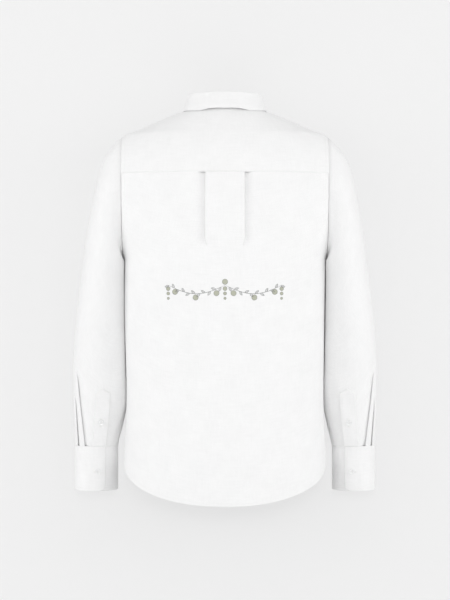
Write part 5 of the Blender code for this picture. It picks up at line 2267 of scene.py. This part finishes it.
    def threads(self, place: ButtonPlace, across: Array, stitcher: Stitcher) -> None:
        """Lays the crossed threads over the button's eyes, and the shank under it.

        Args:
            place: The button's place.
            across: What lies across the button.
            stitcher: What lays the threads.
        """
        normals = np.tile(place.outward, (3, 1))
        up = np.cross(place.outward, across)
        for way in (-1.0, 1.0):
            along = unit(across + way * up)
            off = np.outer(self.thread_apart * np.arange(-1, 2), np.cross(place.outward, along))
            level = place.outward * (self.thick - self.dish + (0.1 if way < 0 else 0.3))
            ways = np.tile(along, (3, 1))
            stitcher.lay(place.base + level + off, ways, normals, self.thread_long, self.thread_wide)
        shank = np.tile(place.base + place.outward * 0.5, (2, 1)) + np.outer([-0.5, 0.5], across)
        outward, upward = np.tile(place.outward, (2, 1)), np.tile(up, (2, 1))
        stitcher.lay(shank, outward, upward, self.shank_long, self.shank_wide)

    def buttonhole(self, place: ButtonPlace, cloth: Sheet, stitcher: Stitcher) -> None:
        """Lays satin stitches round the buttonhole.

        Args:
            place: The button's place.
            cloth: The piece that it is cut in.
            stitcher: What lays the threads.
        """
        turn = np.linspace(0.0, 2 * math.pi, 41)
        straight = self.hole_half - self.hole_wide
        long = self.hole_wide * np.cos(turn) + straight * np.clip(np.cos(turn) * 3, -1.0, 1.0)
        wide = self.hole_wide * np.sin(turn)
        sizes = (wide, long) if place.upright else (long, wide)
        stitcher.run(*cloth.grid.at(*cloth.grid.about(place.base, *sizes), cloth.wall / 2), satin=True)


def sewing_rows() -> dict[str, tuple[StitchRow, ...]]:
    """The rows of stitches by the piece of thread that they make.

    Returns:
        The rows.
    """
    sides = (Edge.FIRST_COLUMN, Edge.LAST_COLUMN)
    rows = {
        "back_stitches": (
            StitchRow("back_cloth", Edge.FIRST_ROW, 5.6, 1.0), *rows_round("back_cloth", 7.4, sides),
            StitchRow("yoke_cloth", Edge.FIRST_ROW, 1.8), *rows_round("yoke_cloth", 7.4, sides),
            StitchRow("yoke_cloth", Edge.LAST_ROW, 1.8, 1.0, 0.0, 0.243),
            StitchRow("yoke_cloth", Edge.LAST_ROW, 1.8, 1.0, 0.757, 1.0),
        ),
        "front_stitches": (
            *(StitchRow(f"front_{word}_cloth", Edge.FIRST_ROW, 5.6, 1.0) for word in ("left", "right")),
            *(
                StitchRow(f"front_{word}_cloth", Edge.LAST_COLUMN, 7.4, 1.0, 0.58)
                for word in ("left", "right")
            ),
            *rows_round("placket_cloth", 5.0, sides),
            StitchRow("placket_cloth", Edge.FIRST_ROW, 5.6, 1.0),
            *rows_round("button_band_cloth", 1.8, sides),
            StitchRow("button_band_cloth", Edge.FIRST_ROW, 5.6, 1.0),
        ),
        "collar_stitches": (
            *rows_round("collar_leaf_cloth", 5.4, (*sides, Edge.LAST_ROW)),
            *rows_round("collar_stand_cloth", 1.8, (*sides, Edge.FIRST_ROW)),
            StitchRow("collar_stand_cloth", Edge.LAST_ROW, 1.8, None, 0.0, 0.07),
            StitchRow("collar_stand_cloth", Edge.LAST_ROW, 1.8, None, 0.93),
        ),
    }
    for side in Side:
        cuff, gauntlet = f"cuff_{side.word}_cloth", f"gauntlet_{side.word}_cloth"
        rows[f"arm_stitches_{side.word}"] = (
            StitchRow(cuff, Edge.FIRST_ROW, 1.8), *rows_round(cuff, 5.2, (*sides, Edge.LAST_ROW)),
            *rows_round(gauntlet, 1.7, (*sides, Edge.LAST_ROW)),
            StitchRow(gauntlet, Edge.LAST_ROW, 15.0, 1.7),
        )
    return rows


def sew_seams(sheets: dict[str, Sheet], stitcher: Stitcher) -> None:
    """Sews the rows of every piece, and the seam under each sleeve.

    Args:
        sheets: The cut pieces by name.
        stitcher: What lays the threads.
    """
    for name, rows in sewing_rows().items():
        stitcher.sew(sheets, rows)
        if name.startswith("arm"):
            sheet = sheets[f"sleeve_{name.rsplit('_', 1)[1]}_cloth"]
            column = float(np.abs(sheet.grid.points[..., 0]).mean(axis=0).argmin())
            down = np.arange(1.0, len(sheet.grid.points) - 1)
            for off in (0.0, 1.6):
                stitcher.run(*sheet.grid.at(down, np.full(len(down), column + off), sheet.wall / 2))
        stitcher.build(name)


@dataclass
class Drawing:
    """Flat strokes and patches in mm, collected as points and faces."""

    points: list[tuple[float, float]] = field(default_factory=list)
    faces: list[list[int]] = field(default_factory=list)

    def strip(self, first: Array, second: Array) -> None:
        """Fills between two lines of as many points.

        Args:
            first: One line.
            second: The other line.
        """
        start, count = len(self.points), len(first)
        self.points += [*map(tuple, first), *map(tuple, second)]
        for k in range(start, start + count - 1):
            self.faces.append([k, k + 1, k + 1 + count, k + count])

    def stroke(self, line: Array, width: float) -> None:
        """Draws a line that tapers at its ends.

        Args:
            line: The line's points.
            width: Its width.
        """
        ahead = unit(np.gradient(line, axis=0))
        share = np.linspace(0.0, 1.0, len(line))
        half = width / 2 * np.minimum(1.0, 0.35 + 4 * np.minimum(share, 1 - share))[:, None]
        side = np.stack([-ahead[:, 1], ahead[:, 0]], axis=1) * half
        self.strip(line + side, line - side)

    def disc(self, centre: Array, inner: float, outer: float) -> None:
        """Draws a ring, or a full disc where the inner radius is next to nothing.

        Args:
            centre: Its middle.
            inner: Its inner radius.
            outer: Its outer radius.
        """
        angles = np.linspace(0.0, 2 * math.pi, 25)
        round_ = np.stack([np.cos(angles), np.sin(angles)], axis=1)
        middle = (inner + outer) / 2
        self.strip(centre + round_ * inner, centre + round_ * middle)
        self.strip(centre + round_ * middle, centre + round_ * outer)

    def leaf(self, foot: Array, angle: float, long: float, wide: float, line: float) -> None:
        """Draws a leaf's outline and its vein.

        Args:
            foot: Where it starts.
            angle: Where it points.
            long: Its length.
            wide: Its width.
            line: The outline's width.
        """
        share = np.linspace(0.0, 1.0, 13)
        bulge = wide / 2 * np.sin(math.pi * share**0.8)
        turn = np.array([[math.cos(angle), math.sin(angle)], [-math.sin(angle), math.cos(angle)]])
        for side in (-1.0, 1.0):
            self.stroke(foot + np.stack([share * long, side * bulge], axis=1) @ turn, line)
        self.stroke(foot + np.stack([share * long * 0.8, 0 * share], axis=1) @ turn, line * 0.7)


@dataclass
class Garland:
    """The print across the back: a light garland of leaves and berries in two swags."""

    torso: Torso
    lift: float = 0.12
    centre_z: float = -329.0
    half: float = 101.0
    top: float = 11.0
    sag: float = 15.0
    line: float = 0.7
    berry: float = 4.6
    leaves: int = 11
    leaf_long: float = 8.5
    leaf_wide: float = 3.4
    leaf_angle: float = 0.7
    hung: int = 3
    hung_apart: float = 8.5
    hung_first: float = 3.4
    hung_less: float = 0.7

    def swag(self, share: float | Array) -> Array:
        """Points of the swag's stem, from the middle out."""
        share = np.asarray(share, float)
        return np.stack([share * self.half, self.top - self.sag * np.sin(math.pi * share)], axis=-1)

    def fruit(self, lines: Drawing, berries: Drawing, place: Array, radius: float) -> None:
        """Draws a berry with its outline."""
        berries.disc(place, 0.05, radius)
        lines.disc(place, radius - 0.1, radius + self.line * 0.6)

    def draw(self) -> tuple[Drawing, Drawing]:
        """Draws the lines and the berries of both swags.

        Returns:
            The lines and the berries.
        """
        lines, berries = Drawing(), Drawing()
        for side in (-1.0, 1.0):
            flip = np.array([side, 1.0])
            lines.stroke(self.swag(np.linspace(0.0, 1.0, 60)) * flip, self.line)
            for k in range(self.leaves):
                share = (k + 0.8) / self.leaves
                foot, ahead = self.swag(share), self.swag(share + 0.01) - self.swag(share - 0.01)
                angle = math.atan2(ahead[1], ahead[0]) + (self.leaf_angle if k % 2 else -self.leaf_angle)
                turned = angle if side > 0 else math.pi - angle
                lines.leaf(foot * flip, turned, self.leaf_long, self.leaf_wide, self.line)
                if k % 4 == 1:
                    self.fruit(lines, berries, (foot - np.array([1.5, self.berry + 2.0])) * flip, self.berry)
        for side in (-1.0, 0.0, 1.0):
            hang = np.array([side * self.half, self.top - 6.0])
            for k in range(self.hung):
                place = hang - np.array([0.0, self.hung_apart * k])
                self.fruit(lines, berries, place, self.hung_first - self.hung_less * k)
        self.fruit(lines, berries, np.array([0.0, self.top + 6.0]), self.berry)
        return lines, berries

    def build(self, inks: tuple[InkFinish, InkFinish]) -> None:
        """Prints the drawing on the back.

        Args:
            inks: The lines' ink and the berries' ink.
        """
        for drawing, ink, extra in zip(self.draw(), inks, (0.03, 0.0)):
            flat = np.array(drawing.points)
            placed = self.torso.print_point(flat[:, 0], flat[:, 1] + self.centre_z, self.lift + extra)
            mesh = bpy.data.meshes.new(f"print_{ink.name}")
            mesh.from_pydata((placed * MM).tolist(), [], drawing.faces)
            corner = np.empty(len(mesh.loops), int)
            mesh.loops.foreach_get("vertex_index", corner)
            mesh.uv_layers.new(name="cut").data.foreach_set("uv", (flat[corner] * MM).ravel())
            for face in [face for face in mesh.polygons if face.normal.y < 0]:
                face.flip()
            mesh.materials.append(ink.build())
            show(mesh)


@dataclass(frozen=True)
class Lamp:
    """A square soft light: its place and its side in metres, and its power in watts."""

    name: str
    place: tuple[float, float, float]
    size: float
    power: float


@dataclass(frozen=True)
class Studio:
    """The camera at the photo's angle, a pale floor and backdrop, and soft lights."""

    distance: float = 3.0
    middle_z: float = -0.344
    frame_height: float = 1.101
    sensor: float = 24.0
    paper: float = 0.4
    ground: float = 0.8
    floor_z: float = -1.2
    wall_y: float = -0.14
    glow: float = 0.475
    sky: float = 0.71
    key: Lamp = Lamp("key", (0.0, 3.2, -0.04), 0.3, 10.5)
    pairs: tuple[Lamp, ...] = (
        Lamp("near", (1.1, 3.0, -0.1), 0.8, 2.5),
        Lamp("middle", (2.1, 2.3, 0.1), 1.2, 4.5),
        Lamp("wide", (3.0, 1.0, 0.1), 1.6, 17.0),
    )
    fill: Lamp = Lamp("fill", (0.0, -3.2, 0.9), 2.4, 9.0)

    def build(self) -> None:
        """Makes the camera, the stage and the lights."""
        scene = bpy.context.scene
        scene.view_settings.view_transform = "Standard"
        self.camera(scene)
        self.stage()
        world = bpy.data.worlds.new("studio")
        world.use_nodes = True
        background = world.node_tree.nodes["Background"]
        background.inputs["Color"].default_value = (1.0, 1.0, 1.0, 1.0)
        background.inputs["Strength"].default_value = self.sky
        scene.world = world
        self.light(self.key)
        for side in Side:
            for lamp in self.pairs:
                place = tuple(side.flip * lamp.place)
                self.light(replace(lamp, name=f"{lamp.name}_{side.word}", place=place))
        self.light(self.fill)

    def camera(self, scene: bpy.types.Scene) -> None:
        """Adds the camera behind the shirt's back.

        Args:
            scene: The scene that it is the camera of.
        """
        data = bpy.data.cameras.new("camera")
        data.sensor_fit = "VERTICAL"
        data.sensor_height = self.sensor
        data.lens = self.sensor * self.distance / self.frame_height
        made = bpy.data.objects.new("camera", data)
        made.location = (0.0, self.distance, self.middle_z)
        made.rotation_euler = (math.radians(90), 0.0, math.radians(180))
        scene.collection.objects.link(made)
        scene.camera = made

    def light(self, lamp: Lamp) -> None:
        """Adds a light that faces the shirt.

        Args:
            lamp: The light.
        """
        data = bpy.data.lights.new(lamp.name, "AREA")
        data.energy, data.size = lamp.power, lamp.size
        made = bpy.data.objects.new(lamp.name, data)
        made.location = lamp.place
        towards = Vector((0.0, 0.0, self.middle_z)) - Vector(lamp.place)
        made.rotation_euler = towards.to_track_quat("-Z", "Y").to_euler()
        bpy.context.scene.collection.objects.link(made)

    def stage(self) -> None:
        """Adds the floor, and the backdrop card, which only the camera sees, and only from its front."""
        shader = Shader("pale_paper")
        place = shader.add("ShaderNodeTexCoord").outputs["Object"]
        grain = shader.add("ShaderNodeTexNoise", Vector=place, Scale=40.0)
        speck = maths(shader.tree, "MULTIPLY", grain.outputs["Fac"], 0.004)
        level = maths(shader.tree, "ADD", speck, self.paper)
        shader.set(Base_Color=level, Roughness=0.9, Specular_IOR_Level=0.0,
                   Emission_Color=(1.0, 1.0, 1.0, 1.0), Emission_Strength=self.glow)
        clear = shader.add("ShaderNodeBsdfTransparent").outputs[0]
        behind = shader.add("ShaderNodeNewGeometry").outputs["Backfacing"]
        both = shader.add("ShaderNodeMixShader", i0=behind, i1=shader.principled.outputs[0], i2=clear)
        shader.tree.links.new(both.outputs[0], shader.tree.nodes["Material Output"].inputs["Surface"])
        upright = (math.radians(-90), 0.0, 0.0)
        wall = self.plane("backdrop", 6.0, (0.0, self.wall_y, 0.0), upright, shader.material)
        wall.visible_diffuse = wall.visible_glossy = wall.visible_transmission = wall.visible_shadow = False
        ground = Shader("pale_floor")
        ground.set(Base_Color=(self.ground, self.ground, self.ground, 1.0), Roughness=0.9)
        self.plane("floor", 9.0, (0.0, 0.0, self.floor_z), (0.0, 0.0, 0.0), ground.material)

    def plane(
        self, name: str, size: float, place: tuple, turn: tuple, material: bpy.types.Material,
    ) -> bpy.types.Object:
        """Adds a square plane to the stage.

        Args:
            name: Its name.
            size: Its side in metres.
            place: Its middle.
            turn: How it is turned.
            material: Its finish.

        Returns:
            The object.
        """
        bpy.ops.object.select_all(action="DESELECT")
        bpy.ops.mesh.primitive_plane_add(size=size, location=place, rotation=turn)
        made = bpy.context.object
        made.name = name
        made.data.materials.append(material)
        made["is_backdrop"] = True
        return made


def corners() -> list[list[float]]:
    """The lowest and highest corner of what shows, as plain numbers."""
    return [[float(value) for value in corner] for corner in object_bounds()]


def main() -> None:
    """Builds the shirt, its finishes and its studio."""
    logging.basicConfig(level=logging.INFO, format="%(message)s")
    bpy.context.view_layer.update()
    cloth = ClothFinish().build()
    torso, collar = Torso(), Collar()
    arms = (Arm(Side.LEFT, LEFT_SLEEVE_CREASES, 0.7), Arm(Side.RIGHT, RIGHT_SLEEVE_CREASES, 3.3))
    sheets = torso.build(cloth) | collar.build(cloth)
    for arm in arms:
        sheets |= arm.build(cloth)
    stitcher = Stitcher(ThreadFinish().build())
    sew_seams(sheets, stitcher)
    Fastenings(torso, collar, arms, ButtonFinish().build()).build(sheets, stitcher)
    inks = (InkFinish("grey_ink", (0.2, 0.205, 0.2)), InkFinish("sage_ink", (0.47, 0.48, 0.39)))
    Garland(torso).build(inks)
    Studio().build()


if __name__ == "__main__":
    main()
